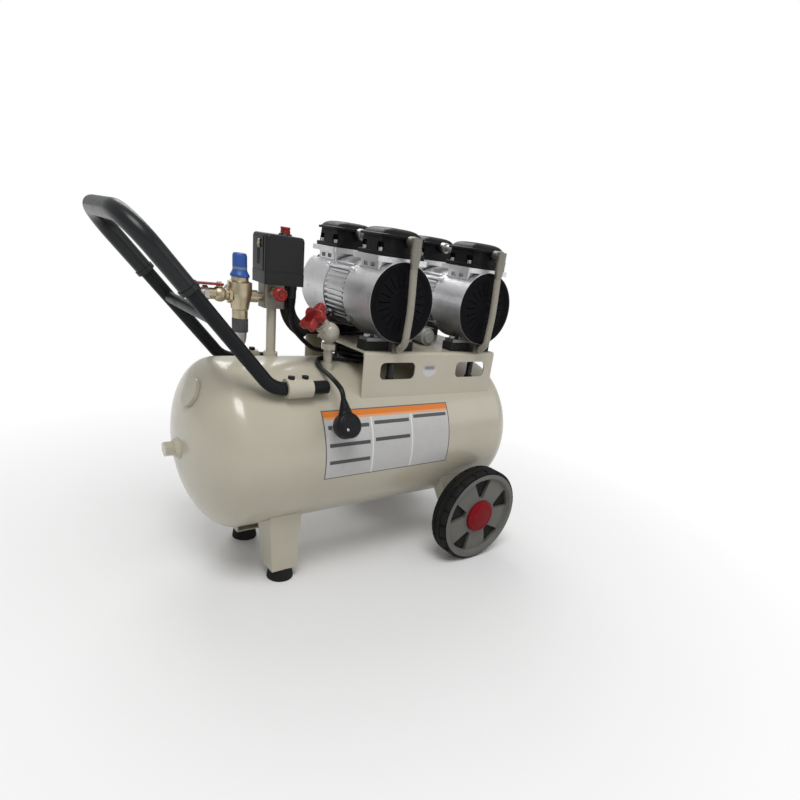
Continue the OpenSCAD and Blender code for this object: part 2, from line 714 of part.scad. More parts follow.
module fan_covers() {
    color(black) at_pumps() both_sides() difference() {
        translate([0, -half_pump, 0]) along_y() cylinder(r = case_r - case_wall - seat_gap, h = cover_t);
        for (a = [0:30:330]) rotate([0, a, 0]) translate([18, -half_pump - 1, -1.5]) cube([26, cover_t + 2, 3]);
    }
}

// Pipe between the two heads of each pump
module transfer_tubes() {
    color(steel) at_pumps() translate([0, 0, head_z + port_h]) {
        translate([0, 4 - cyl_y + head_l / 2 - 12, 0]) along_y() ring(6, 4, 2 * (cyl_y - head_l / 2 + 8));
        both_sides() translate([0, -cyl_y + head_l / 2 + 1, 0]) along_y() ring(9, 6 + run_fit, 10);
    }
}

module capacitors() {
    color([0.75, 0.74, 0.70]) for (x = [pump_a + 66, pump_b - 66])
        translate([x, -44, saddle_z + 15.2]) along_y() {
            cylinder(r = 15, h = 52);
            translate([0, 0, -4]) cylinder(r = 11, h = 5);
        }
}

module rotor() {
    color(steel) {
        translate([0, -half_pump + cover_t + 1.3, 0]) along_y() cylinder(r = shaft_r, h = 2 * (half_pump - cover_t - 1.3));
        translate([0, -24, 0]) along_y() cylinder(r = core_r, h = 48);
        both_sides() {
            translate([0, -cyl_y - rod_w / 2 - 1, crank_r]) along_y() cylinder(r = pin_r, h = rod_w + 2);
            difference() {
                translate([0, -half_stator - bearing_w - 14, 0]) along_y() cylinder(r = shaft_r + 8, h = 10);
                translate([-30, -half_pump, 0]) cube([60, half_pump, 40]);
            }
        }
    }
}

module fans() {
    color([0.20, 0.20, 0.21]) both_sides() translate([0, -fan_y - fan_w, 0]) along_y() difference() {
        union() {
            cylinder(r = shaft_r + 6, h = fan_w);
            for (a = [0:45:315]) rotate([0, 0, a]) translate([shaft_r + 4, 0, fan_w / 2]) rotate([35, 0, 0])
                translate([0, -5, -1]) cube([fan_r - shaft_r - 7, 10, 2]);
        }
        translate([0, 0, -1]) cylinder(r = shaft_r + run_fit, h = fan_w + 2);
    }
}

// Connecting rods at top dead centre, each on its eccentric
module rods() {
    color(alloy) both_sides() translate([0, -cyl_y - rod_w / 2, 0]) difference() {
        union() {
            translate([0, 0, crank_r]) along_y() cylinder(r = rod_r, h = rod_w);
            translate([-5, 2, crank_r + rod_r - 3]) cube([10, rod_w - 4, rod_top - crank_r - rod_r - 1]);
            translate([0, 2, rod_top - 6]) along_y() cylinder(r = 6, h = rod_w - 4);
        }
        translate([0, -1, crank_r]) along_y() cylinder(r = pin_r + run_fit, h = rod_w + 2);
        translate([0, -1, rod_top - 6]) along_y() cylinder(r = 3, h = rod_w + 2);
    }
}

module pistons() {
    r = bore_d / 2 - run_fit;
    color(steel) both_sides() translate([0, -cyl_y, 0]) rotate_extrude() polygon([[0, crown_top - crown_h],
        [r - 3, crown_top - crown_h], [r - 3, skirt_z], [r, skirt_z], [r, crown_top - 4.5], [r - 0.8, crown_top - 4],
        [r - 0.8, crown_top - 3], [r, crown_top - 2.5], [r, crown_top], [0, crown_top]]);
}

module rotor_a() { translate([pump_a, 0, pump_z]) rotor(); }
module fans_a() { translate([pump_a, 0, pump_z]) fans(); }
module rods_a() { translate([pump_a, 0, pump_z]) rods(); }
module pistons_a() { translate([pump_a, 0, pump_z]) pistons(); }
module rotor_b() { translate([pump_b, 0, pump_z]) rotor(); }
module fans_b() { translate([pump_b, 0, pump_z]) fans(); }
module rods_b() { translate([pump_b, 0, pump_z]) rods(); }
module pistons_b() { translate([pump_b, 0, pump_z]) pistons(); }

// ---------------------------------------------------------------- hoses

hose_top = head_z + port_h - 12;
hose_low = -pump_axis_h + 7 + hose_bend;
module head_hoses() {
    color([0.62, 0.60, 0.54]) at_pumps() translate([hose_x, -hose_y, 0]) {
        translate([0, 0, hose_low]) cylinder(r = hose_d / 2, h = hose_top - hose_low);
        translate([0, hose_bend, hose_low]) rotate([0, 90, 0]) rotate([0, 0, -90]) rotate_extrude(angle = 90)
            translate([hose_bend, 0]) circle(r = hose_d / 2);
    }
}

// Elbow on each front head, block on the saddle, and the check valve down to the tank
module hose_fittings() {
    foot_z = tank_side_z(hose_foot_y + check_r) - 2;
    color(steel) {
        at_pumps() translate([hose_x, -hose_y, 0]) {
            translate([0, 0, head_z + port_h]) along_y() cylinder(r = 4.9, h = hose_y - cyl_y - head_l / 2 + 6);
            translate([0, 0, head_z + port_h]) along_y() cylinder(r = 8, h = hose_y - cyl_y - head_l / 2 - 1.2);
            translate([0, 0, hose_top + seat_gap]) cylinder(r = 8, h = 18);
        }
        for (x = [pump_a, pump_b]) translate([x + hose_x, 0, 0]) {
            translate([-9, hose_bend - hose_y + seat_gap, saddle_z + seat_gap])
                cube([18, hose_y - hose_bend - hose_foot_y + 7.5, 13.8]);
            translate([0, -hose_foot_y, foot_z]) cylinder(r = check_pipe_r, h = saddle_z + 5 - foot_z);
            translate([0, -hose_foot_y, tank_side_z(hose_foot_y) + 8]) hex(8, 12);
        }
    }
}

// ---------------------------------------------------------------- pressure switch

module manifold() {
    low = tank_side_z(standpipe_y + 11);
    color([0.66, 0.63, 0.56]) {
        translate([-standpipe_x, standpipe_y, low]) ring(standpipe_d / 2, standpipe_d / 2 - 2, manifold_z + 8 - low);
        difference() {
            translate([manifold_x, standpipe_y, manifold_z]) slab(manifold_w, manifold_d, manifold_h, 4);
            translate([-standpipe_x, standpipe_y, manifold_z - 1]) cylinder(r = standpipe_d / 2 + run_fit, h = 10);
            translate([-standpipe_x, standpipe_y, manifold_z]) cylinder(r = 4, h = manifold_h + 1);
            translate([relief_x, standpipe_y, relief_z]) rotate([90, 0, 0]) cylinder(r = 5 + run_fit, h = 30);
            translate([manifold_x - manifold_w / 2 - 1, standpipe_y, port_z]) along_x()
                cylinder(r = 6 + run_fit, h = 11);
        }
    }
}

// Tray with the contact block, the glands under it and the mains cord's strain relief
module switch_base() {
    wall = 3;
    color(black) {
        translate([switch_x, standpipe_y, switch_z]) difference() {
            slab(switch_w, switch_d, base_h, 5);
            translate([0, 0, wall]) slab(switch_w - 2 * wall, switch_d - 2 * wall, base_h, 3);
            translate([-standpipe_x - switch_x, 0, -1]) cylinder(r = 4, h = 5);
            for (y = gland_ys) translate([gland_x - switch_x, y - standpipe_y, -1]) cylinder(r = 5 + seat_gap, h = 5);
        }
        translate([switch_x - 6, standpipe_y, switch_z + wall + seat_gap]) slab(30, 34, 32, 2);
        for (y = gland_ys) translate([gland_x, y, switch_z]) {
            translate([0, 0, -gland_h]) cylinder(r = gland_r - 1, h = gland_h - seat_gap);
            translate([0, 0, -6]) cylinder(r = gland_r - 0.2, h = 6 - seat_gap);
            translate([0, 0, -1]) cylinder(r = 5, h = 8);
        }
        translate([gland_x, gland_ys[0], cord_in[0][2]]) cylinder(r1 = cord_d / 2 + 0.4, r2 = 6.4,
            h = switch_z - gland_h - cord_in[0][2] - seat_gap);
    }
}

module switch_cover() {
    wall = 2.5;
    z = switch_z + base_h + seat_gap;
    color(black) translate([switch_x, standpipe_y, z]) difference() {
        union() {
            slab(switch_w, switch_d, cover_h, 5);
            translate([knob_off, 0, cover_h - 0.5]) cylinder(r = knob_r + 2.2, h = collar_h + 0.5);
        }
        translate([0, 0, -1]) slab(switch_w - 2 * wall, switch_d - 2 * wall, cover_h - wall + 1, 3);
        translate([knob_off, 0, 0]) cylinder(r = knob_r + run_fit, h = cover_h + 10);
    }
}

knob_off = 10;
knob_travel = 5;
collar_h = 2.5;
knob_left = 4.5;
module switch_knob() {
    top = switch_z + base_h + seat_gap + cover_h;
    color(red) translate([switch_x + knob_off, standpipe_y, top - 12])
        cylinder(r = knob_r, h = 12 + collar_h + knob_travel + knob_left);
}

module relief_valve() {
    front = standpipe_y - manifold_d / 2;
    color(brass) translate([relief_x, front, relief_z]) rotate([90, 0, 0]) difference() {
        union() {
            translate([0, 0, -8]) cylinder(r = 5, h = 9);
            translate([0, 0, seat_gap]) hex(8.5, 6);
            cylinder(r = 6.5, h = 16);
        }
        translate([0, 0, -9]) cylinder(r = 2.5, h = 30);
    }
}

module relief_knob() {
    front = standpipe_y - manifold_d / 2 - 16;
    color(red) translate([relief_x, front, relief_z]) rotate([90, 0, 0]) {
        translate([0, 0, -14]) cylinder(r = 2.5 - run_fit, h = 16);
        translate([0, 0, 0.4]) rotate_extrude() polygon([[0, 0], [8, 0], [10.5, 3], [10.5, 9], [8.5, 12], [0, 12.5]]);
    }
}

// ---------------------------------------------------------------- regulator

module regulator_body() {
    top = port_z + 26;
    low = port_z - 33;
    color(brass) difference() {
        union() {
            translate([reg_x, standpipe_y, low]) rotate_extrude() polygon([[0, 0], [11.5, 0], [11.5, 12],
                [13, 14], [reg_r - 2.5, 26], [reg_r, 36], [reg_r, 52], [12.5, 54], [12.5, top - low], [0, top - low]]);
            translate([valve_x - 1, standpipe_y, port_z]) along_x() hex(12, 4);
            translate([reg_x, standpipe_y, port_z]) along_x() cylinder(r = 9, h = 26);
            translate([reg_x, standpipe_y, port_z]) along_x() cylinder(r = 6, h = 42);
            translate([reg_x, standpipe_y, port_z]) along_y() cylinder(r = 6, h = reg_r + 4);
        }
        translate([reg_x, standpipe_y, low - 1]) cylinder(r = 6, h = 45);
        translate([reg_x, standpipe_y, top - 10]) cylinder(r = 4 + run_fit, h = 11);
        translate([valve_x - 3, standpipe_y, port_z]) along_x() cylinder(r = 4, h = 90);
    }
}

module regulator_knob() {
    color([0.18, 0.33, 0.59]) translate([reg_x, standpipe_y, port_z + 26]) {
        translate([0, 0, -8]) cylinder(r = 4, h = 10);
        translate([0, 0, 0.4]) rotate_extrude() polygon([[0, 0], [14, 0], [14, 2.5], [10.5, 9], [10.2, 31],
            [8.5, 33], [0, 33]]);
    }
}

module filter_bowl() {
    top = port_z - 33 - seat_gap;
    color([0.30, 0.30, 0.30]) translate([reg_x, standpipe_y, top - 50]) rotate_extrude() polygon([[2, 0], [6, 1],
        [9.5, 5], [10, 28], [12, 30], [12, 50], [6, 50], [6, 49], [8, 48], [8, 31], [7, 29], [7, 6], [2, 3]]);
}

gauge_y = standpipe_y + reg_r + 4 + seat_gap;
module gauge_case() {
    color(steel) translate([reg_x, gauge_y, port_z]) along_y() difference() {
        cylinder(r = 13.5, h = 12);
        translate([0, 0, 9]) cylinder(r = 12, h = 4);
        translate([0, 0, 4]) cylinder(r = 0.8 + run_fit, h = 10);
    }
}

module gauge_needle() {
    color(red) translate([reg_x, gauge_y + 9, port_z]) rotate([0, -45, 0]) along_y() {
        translate([0, 0, -4]) cylinder(r = 0.8, h = 5.6);
        translate([0, 0, 0.8]) cylinder(r = 2, h = 0.8);
        translate([-0.5, -3, 0.8]) cube([1, 13, 0.6]);
    }
}

module outlet_valve() {
    color(brass) difference() {
        union() {
            translate([valve_x - valve_len, standpipe_y, port_z]) along_x() cylinder(r = 8, h = valve_len - 1.2);
            translate([lever_x, standpipe_y, port_z]) sphere(r = 11);
            translate([lever_x, standpipe_y, port_z]) cylinder(r = 4.5, h = 11.6);
        }
        translate([valve_x - valve_len - 1, standpipe_y, port_z]) along_x() cylinder(r = 4, h = valve_len + 2);
        translate([lever_x, standpipe_y, port_z + 5]) cylinder(r = 2 + run_fit, h = 20);
    }
}

module outlet_lever() {
    color(red) translate([lever_x, standpipe_y, lever_z]) {
        translate([0, 0, -6]) cylinder(r = 2, h = 8);
        cylinder(r = 6.5, h = 3);
        translate([-34, -5.5, 0]) cube([34, 11, 3]);
        translate([0, 0, 2.9]) hex(3.6, 2.5);
    }
}

// Hose coupler: a drilled nipple, and the sleeve that is drawn back to free a hose
module coupler() {
    color(steel) difference() {
        union() {
            translate([coupler_x - coupler_len, standpipe_y, port_z]) along_x()
                cylinder(r = coupler_r, h = coupler_len - seat_gap);
            translate([coupler_x - 7, standpipe_y, port_z]) along_x() hex(11, 6.9);
        }
        translate([coupler_x - coupler_len - 1, standpipe_y, port_z]) along_x()
            cylinder(r = coupler_bore / 2, h = coupler_len + 2);
    }
}

module coupler_sleeve() {
    color(black) translate([coupler_x - coupler_len + 1.5, standpipe_y, port_z]) along_x()
        ring(sleeve_d / 2, coupler_r + run_fit, coupler_len - 13);
}

// ---------------------------------------------------------------- bleed valve

module on_stem() { translate([bleed_x, bleed_y, bleed_z]) rotate([0, bleed_tilt - 90, 0]) children(); }

module bleed_valve() {
    low = tank_side_z(abs(bleed_y) + 10);
    color([0.72, 0.70, 0.66]) difference() {
        union() {
            translate([bleed_x, bleed_y, low]) cylinder(r = bleed_pipe_r, h = bleed_z - low);
            translate([bleed_x, bleed_y, bleed_z - 26]) hex(12, 9);
            translate([bleed_x, bleed_y, bleed_z]) sphere(r = 16);
            on_stem() cylinder(r = 10, h = 22);
            on_stem() hex(12.5, 19);
        }
        translate([bleed_x, bleed_y, low - 1]) cylinder(r = 4, h = bleed_z - low);
        on_stem() cylinder(r = 3.5 + run_fit, h = 40);
    }
}

module bleed_wheel() {
    color(red) on_stem() {
        translate([0, 0, 6]) cylinder(r = 3.5, h = 28);
        translate([0, 0, 30]) cylinder(r = 16, h = 12);
        for (a = [0:72:288]) rotate([0, 0, a]) translate([16, 0, 30]) cylinder(r = 8, h = 12);
    }
}

// ---------------------------------------------------------------- leads, cord and plug

module motor_leads() {
    color(black) {
        tube_along(lead_a, lead_d);
        tube_along(lead_b, lead_d);
    }
}

module mains_cord() {
    color(black) {
        tube_along(cord_in, cord_d);
        tube_along(cord_out, cord_d);
    }
}

module cord_coil() { color(black) translate(coil_at) ring(coil_out, coil_in, coil_h); }

// Right-angle plug that hangs with its pins against the tank
module plug() {
    color(black) translate(plug_at) rotate([plug_tilt - 90, 0, 0]) {
        translate([0, -plug_t / 2, 0]) along_y() rotate_extrude() polygon([[0, 0], [plug_r - 3, 0], [plug_r, 3],
            [plug_r, plug_t - 2], [plug_r - 2, plug_t], [0, plug_t]]);
        rotate_extrude() polygon([[0, 2], [11, 2], [11, 15], [8, 25], [6, 28], [cord_d / 2 + 0.5, plug_neck],
            [0, plug_neck]]);
        for (x = [-9.5, 9.5]) translate([x, plug_t / 2 - 0.5, 0]) along_y() cylinder(r = 2.4, h = 19.5);
    }
}

// ---------------------------------------------------------------- the machine

home() tank_shell();
home() tank_fittings();
home() drain_valve();
home() drain_knob();
home() leg_brackets();
home() wheel_brackets();
home() rubber_feet();
home() bolts();
home() axle_hardware();
home() tyre_front();
home() rim_front();
home() hub_cap_front();
home() tyre_rear();
home() rim_rear();
home() hub_cap_rear();
home() handle_frame();
home() handle_grip();
home() handle_sockets();
home() saddle();
home() motor_pads();
home() crankcases();
home() motor_housings();
home() stators();
home() bearings();
home() cylinders();
home() heads();
home() fan_covers();
home() transfer_tubes();
home() capacitors();
home() rotor_a();
home() fans_a();
home() rods_a();
home() pistons_a();
home() rotor_b();
home() fans_b();
home() rods_b();
home() pistons_b();
home() head_hoses();
home() hose_fittings();
home() manifold();
home() switch_base();
home() switch_cover();
home() switch_knob();
home() relief_valve();
home() relief_knob();
home() regulator_body();
home() regulator_knob();
home() filter_bowl();
home() gauge_case();
home() gauge_needle();
home() outlet_valve();
home() outlet_lever();
home() coupler();
home() coupler_sleeve();
home() bleed_valve();
home() bleed_wheel();
home() motor_leads();
home() mains_cord();
home() cord_coil();
home() plug();
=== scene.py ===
"""Looks of a portable twin-pump air compressor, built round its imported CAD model.

Lengths are metres in the CAD model's frame: +X along the tank towards the wheels, +Y to the rear, +Z up.
"""

import json
import math

import bmesh
import bpy
from mathutils import Matrix, Vector


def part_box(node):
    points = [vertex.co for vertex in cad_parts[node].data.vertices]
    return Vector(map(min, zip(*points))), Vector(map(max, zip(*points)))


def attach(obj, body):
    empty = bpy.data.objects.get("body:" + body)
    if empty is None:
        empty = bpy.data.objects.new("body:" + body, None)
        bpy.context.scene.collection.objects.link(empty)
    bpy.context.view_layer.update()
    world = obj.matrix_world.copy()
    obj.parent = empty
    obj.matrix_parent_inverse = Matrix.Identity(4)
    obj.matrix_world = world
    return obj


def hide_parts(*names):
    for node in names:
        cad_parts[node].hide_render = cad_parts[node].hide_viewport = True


MM = 0.001
FULL_TURN = 2 * math.pi


def mm(points):
    """Points in metres from points in millimetres."""
    return [tuple(MM * number for number in point) for point in points]


def circle(count):
    """Angles that share out a full turn."""
    return [FULL_TURN * i / count for i in range(count)]


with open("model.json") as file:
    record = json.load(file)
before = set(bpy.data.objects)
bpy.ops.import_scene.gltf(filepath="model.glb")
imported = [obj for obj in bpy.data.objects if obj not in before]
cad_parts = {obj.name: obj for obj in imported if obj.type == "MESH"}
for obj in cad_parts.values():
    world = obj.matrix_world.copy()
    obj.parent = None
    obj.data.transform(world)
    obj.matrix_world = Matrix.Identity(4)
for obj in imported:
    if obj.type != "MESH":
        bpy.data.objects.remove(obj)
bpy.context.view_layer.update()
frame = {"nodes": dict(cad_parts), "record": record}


# ---- places, read from the frame


def middle(node):
    low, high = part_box(node)
    return (low + high) / 2


def extent(node):
    low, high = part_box(node)
    return high - low


TANK = middle("tank_shell")
TANK_R = extent("tank_shell").y / 2
TANK_HALF = extent("tank_shell").x / 2
SADDLE_LOW, SADDLE_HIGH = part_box("saddle")
PUMPS = {"a": middle("fans_a"), "b": middle("fans_b")}
SHAFT_Z = PUMPS["a"].z
CASE_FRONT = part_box("crankcases")[0].y
HEAD_LOW, HEAD_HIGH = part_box("heads")
WHEEL_R = extent("tyre_front").z / 2


# ---- shader maths


def both_ways(operation):
    """An operator on a value, and the same with the value on its right."""
    return (lambda value, other: value.finish.maths(operation, value, other),
            lambda value, other: value.finish.maths(operation, other, value))


class Value:
    """What a socket gives, with arithmetic that adds Math nodes."""

    __add__, __radd__ = both_ways("ADD")
    __sub__, __rsub__ = both_ways("SUBTRACT")
    __mul__, __rmul__ = both_ways("MULTIPLY")
    __truediv__ = both_ways("DIVIDE")[0]
    __gt__ = both_ways("GREATER_THAN")[0]
    __lt__ = both_ways("LESS_THAN")[0]

    def __init__(self, finish, socket):
        self.finish = finish
        self.socket = socket

    def maths(self, operation, *others):
        return self.finish.maths(operation, self, *others)

    def fades(self, start, end):
        """0 at start, 1 at end and straight between."""
        return self.finish.node(
            "MapRange", {"clamp": True}, {"Value": self, "From Min": start, "From Max": end})


class Finish:
    """One material: a Principled shader and the nodes that feed it."""

    def __init__(self, name, **constants):
        self.material = bpy.data.materials.new(name)
        self.material.use_nodes = True
        self.tree = self.material.node_tree
        self.shader = self.tree.nodes["Principled BSDF"]
        self.place = self.node("TexCoord", {}, {}, "Object")
        self.set(**constants)

    def finished(self, base, roughness, height=None, depth=0.0, strength=1.0):
        """Feeds colour, roughness and relief, and gives the material."""
        self.set(base_color=base, roughness=roughness)
        if height:
            self.set(normal=self.bump(height, depth, strength))
        return self.material

    def node(self, kind, settings, sockets, output=0):
        made = self.tree.nodes.new("ShaderNode" + kind)
        for key, value in settings.items():
            if key == "stops":
                self.stops(made.color_ramp, value)
            else:
                setattr(made, key, value)
        for key, value in sockets.items():
            self.feed(made.inputs[key], value)
        return Value(self, made.outputs[output])

    def stops(self, ramp, stops):
        while len(ramp.elements) < len(stops):
            ramp.elements.new(1.0)
        for element, (position, shade) in zip(ramp.elements, stops):
            element.position = position
            element.color = (shade, shade, shade, 1) if isinstance(shade, (int, float)) else (*shade, 1)

    def feed(self, socket, value):
        if isinstance(value, Value):
            self.tree.links.new(value.socket, socket)
        elif isinstance(value, tuple) and len(value) == 3 and socket.type == "RGBA":
            socket.default_value = (*value, 1)
        else:
            socket.default_value = value

    def set(self, **sockets):
        """Feeds the shader's sockets, named in lower case with underscores."""
        names = {s.name.lower().replace(" ", "_"): s for s in self.shader.inputs}
        for key, value in sockets.items():
            self.feed(names[key], value)
        return self

    def noise(self, scale, detail=2.0, roughness=0.5, stretch=None):
        place = self.place
        if stretch:
            place = self.node("Mapping", {}, {"Vector": place, "Scale": stretch})
        return self.node("TexNoise", {}, {
            "Vector": place, "Scale": scale, "Detail": detail, "Roughness": roughness})

    def maths(self, operation, *numbers):
        return self.node("Math", {"operation": operation}, dict(enumerate(numbers)))

    def ramp(self, value, *stops):
        return self.node("ValToRGB", {"stops": stops}, {"Fac": value})

    def mix(self, factor, first, second):
        return self.node("Mix", {"data_type": "RGBA"}, {0: factor, 6: first, 7: second}, 2)

    def axes(self, place=None):
        split = self.node("SeparateXYZ", {}, {"Vector": place or self.place})
        return [Value(self, s) for s in split.socket.node.outputs]

    def bump(self, height, depth, strength):
        """A surface raised by depth metres where height is 1."""
        return self.node("Bump", {}, {"Height": height, "Distance": depth, "Strength": strength})


def toned(colour, factor):
    return tuple(min(1.0, c * factor) for c in colour)


# ---- finishes


def enamel(name, colour, roughness, dust=0.25, shine=0.5, coat=0.35):
    """Sprayed enamel: orange peel, a slow drift of tone, rubbed patches and a little workshop dust."""
    f = Finish(name, ior=1.5, coat_weight=coat, coat_roughness=0.12, specular_ior_level=shine)
    drift = f.noise(5, 3)
    specks = f.ramp(f.noise(900, 2), (0.7, 0.0), (0.78, 1.0))
    rubbed = f.ramp(f.noise(38, 5, 0.65), (0.52, 0.0), (0.7, 1.0))
    base = f.mix(f.ramp(drift, (0.35, 0.0), (0.65, 1.0)), toned(colour, 0.94), toned(colour, 1.05))
    base = f.mix(specks * dust, base, toned(colour, 0.62))
    base = f.mix(rubbed * (dust * 0.35), base, toned(colour, 0.86))
    peel = f.noise(420, 1)
    return f.finished(base, roughness + rubbed * 0.12 + specks * 0.15, peel, 0.00012, 0.5)


def moulded(name, colour, roughness, grain=1400, depth=0.00006, scuff=0.5, shine=0.5):
    """Injection-moulded plastic: spark-eroded grain, soft scuffs and dust in the grain."""
    f = Finish(name, ior=1.49, specular_ior_level=shine)
    scuffs = f.ramp(f.noise(60, 6, 0.7, stretch=(1, 1, 3)), (0.55, 0.0), (0.72, 1.0))
    tone = f.ramp(f.noise(14, 3), (0.3, 0.0), (0.7, 1.0))
    base = f.mix(tone, toned(colour, 0.88), toned(colour, 1.12))
    lighter = tuple(c * 0.75 + 0.03 for c in colour)
    base = f.mix(scuffs * scuff * 0.4, base, lighter)
    return f.finished(base, roughness + scuffs * 0.14 - tone * 0.04, f.noise(grain, 2), depth, 0.6)


def rubber(name, colour, roughness=0.72, chalk=0.3):
    """Black rubber with a matt bloom and chalky dust."""
    f = Finish(name, ior=1.45, specular_ior_level=0.2)
    bloom = f.ramp(f.noise(22, 6, 0.65), (0.4, 0.0), (0.75, 1.0))
    dust = f.ramp(f.noise(480, 3), (0.58, 0.0), (0.72, 1.0))
    base = f.mix(bloom * chalk, colour, (0.045, 0.043, 0.038))
    base = f.mix(dust * (chalk * 0.5), base, (0.1, 0.095, 0.085))
    return f.finished(base, roughness + bloom * 0.12, f.noise(1100, 3), 0.00008, 0.6)


def cast_metal(name, colour, roughness=0.34, grain=650, painted_shade_heights=None):
    """Die-cast alloy: a bright skin, a cast grain, soft patches of oxide, and painted shade that darkens it
    from the first of two heights down to the second.
    """
    f = Finish(name, metallic=0.92)
    oxide = f.ramp(f.noise(30, 6, 0.6), (0.42, 0.0), (0.75, 1.0))
    pits = f.ramp(f.noise(grain, 4, 0.6), (0.35, 1.0), (0.48, 0.0))
    base = f.mix(oxide * 0.45, colour, toned(colour, 0.68))
    base = f.mix(pits * 0.35, base, toned(colour, 0.5))
    # painted shade: below the first height the colour darkens towards a tenth of its tone, strongest from
    # the second height down
    if painted_shade_heights:
        height = f.axes()[2] + (f.noise(26, 4) - 0.5) * 0.012
        base = f.mix(height.fades(*painted_shade_heights) * 0.8, base, toned(colour, 0.1))
    skin = f.noise(grain * 0.6, 3)
    return f.finished(base, roughness + oxide * 0.14 + pits * 0.12, skin - pits * 0.4, 0.00016, 0.5)


def turned_metal(name, colour, roughness, tarnish=0.35):
    """Plated or turned metal: fine tool lines, finger marks and a light tarnish."""
    f = Finish(name, metallic=1.0)
    marks = f.ramp(f.noise(85, 5, 0.6), (0.45, 0.0), (0.72, 1.0))
    lines = f.noise(160, 2, stretch=(1, 1, 22))
    base = f.mix(marks * tarnish, colour, toned(colour, 0.62))
    base = f.mix(f.ramp(f.noise(700, 2), (0.66, 0.0), (0.74, 1.0)) * 0.5, base, toned(colour, 0.4))
    return f.finished(base, roughness + marks * 0.16 + lines * 0.08, lines, 0.00005, 0.35)


def braid(name, colour):
    """Hose with a woven sleeve: two sets of threads crossing along and round the hose."""
    f = Finish(name, ior=1.45, sheen_weight=0.15)
    along, round_, _ = f.axes(f.node("TexCoord", {}, {}, "UV"))
    left = ((along * 120 + round_ * 10) * FULL_TURN).maths("SINE")
    right = ((along * 120 - round_ * 10) * FULL_TURN).maths("SINE")
    weave = left * right * 0.5 + 0.5
    base = f.mix(weave, toned(colour, 0.62), toned(colour, 1.1))
    base = f.mix(f.ramp(f.noise(60, 4), (0.5, 0.0), (0.75, 0.5)), base, toned(colour, 0.7))
    return f.finished(base, 0.5 + weave * 0.1, weave, 0.0003, 0.8)


CREAM = (0.43, 0.4, 0.315)
FINISHES = {
    "cream_paint": enamel("cream enamel", CREAM, 0.28),
    "black_paint": enamel("black enamel", (0.009, 0.01, 0.011), 0.36, 0.1, 0.14, coat=0.0),
    "grip_sleeve": moulded("grip sleeve", (0.01, 0.011, 0.012), 0.34, 800, scuff=0.2, shine=0.3),
    "black_rubber": rubber("black rubber", (0.01, 0.01, 0.01)),
    "tyre": rubber("tyre rubber", (0.006, 0.006, 0.006), 0.66, 0.15),
    "wheel_grey": moulded("wheel grey", (0.105, 0.103, 0.094), 0.4, grain=900, shine=0.3),
    "cap_red": moulded("cap red", (0.18, 0.004, 0.007), 0.38, scuff=0.03, shine=0.1),
    "steel": turned_metal("plated steel", (0.5, 0.49, 0.47), 0.3),
    # painted shade on the pumps' castings: darker below the shafts' height
    "cast_alloy": cast_metal("cast alloy", (0.76, 0.76, 0.77), painted_shade_heights=(SHAFT_Z + 0.004, SHAFT_Z - 0.034)),
    "head_black": moulded("head black", (0.007, 0.007, 0.008), 0.38, 500, 0.00012, 0.12, shine=0.12),
    "cover_black": moulded("cover black", (0.005, 0.005, 0.006), 0.5, 1000, scuff=0.1, shine=0.05),
    "motor_core": turned_metal("motor core", (0.3, 0.28, 0.26), 0.42, 0.5),
    "capacitor_case": moulded("capacitor case", (0.3, 0.29, 0.27), 0.4),
    "hose_braid": braid("hose braid", (0.32, 0.295, 0.24)),
    "zinc": cast_metal("zinc", (0.27, 0.255, 0.22), 0.44, 900),
    "switch_black": moulded("switch black", (0.013, 0.014, 0.013), 0.38, 1100, scuff=0.2, shine=0.28),
    "knob_red": moulded("knob red", (0.25, 0.017, 0.015), 0.32, scuff=0.1, shine=0.35),
    "brass": turned_metal("champagne brass", (0.5, 0.43, 0.3), 0.31),
    "knob_blue": moulded("knob blue", (0.026, 0.085, 0.31), 0.36, scuff=0.1, shine=0.35),
    "bowl": turned_metal("bowl", (0.5, 0.5, 0.5), 0.27),
    "sleeve_black": turned_metal("sleeve black", (0.04, 0.04, 0.042), 0.3),
    "nickel": enamel("bleed cream", (0.37, 0.345, 0.285), 0.34, dust=0.3),
    "cord_black": moulded("cord black", (0.006, 0.0065, 0.008), 0.42, 900, scuff=0.08, shine=0.2),
    "band_blue": moulded("band blue", (0.16, 0.2, 0.3), 0.4),
    "bowl_collar": moulded("bowl collar", (0.055, 0.055, 0.057), 0.42),
    "dial_white": moulded("dial white", (0.75, 0.75, 0.73), 0.5, scuff=0.1),
    "dial_black": moulded("dial black", (0.004, 0.004, 0.004), 0.6, shine=0.1),
    "maroon_disc": moulded("maroon disc", (0.12, 0.005, 0.008), 0.4, shine=0.2),
}


# ---- modelling


def only(piece):
    """Selects one object alone and makes it active."""
    bpy.ops.object.select_all(action="DESELECT")
    piece.select_set(True)
    bpy.context.view_layer.objects.active = piece
    return piece


def editing(piece):
    """Edit mode, with every point selected."""
    only(piece)
    bpy.ops.object.mode_set(mode="EDIT")
    bpy.ops.mesh.select_mode(type="VERT")
    bpy.ops.mesh.select_all(action="SELECT")


def done(piece):
    bpy.ops.object.mode_set(mode="OBJECT")
    return piece


def pick(piece, test):
    """In edit mode, selects the faces whose middles pass a test."""
    bpy.ops.mesh.select_mode(type="FACE")
    bpy.ops.mesh.select_all(action="DESELECT")
    cage = bmesh.from_edit_mesh(piece.data)
    for face in cage.faces:
        face.select_set(bool(test(face.calc_center_median())))
    cage.select_flush_mode()
    bmesh.update_edit_mesh(piece.data)


def fresh(name, add, **settings):
    """A new piece from an operator that adds one."""
    bpy.ops.object.select_all(action="DESELECT")
    add(**settings)
    bpy.context.object.name = name
    return bpy.context.object


def linked(name, data):
    """A new object in the scene."""
    piece = bpy.data.objects.new(name, data)
    bpy.context.scene.collection.objects.link(piece)
    return piece


def as_mesh(name, shape):
    """A curve or text turned into a mesh."""
    only(linked(name, shape))
    bpy.ops.object.convert(target="MESH")
    return bpy.context.object


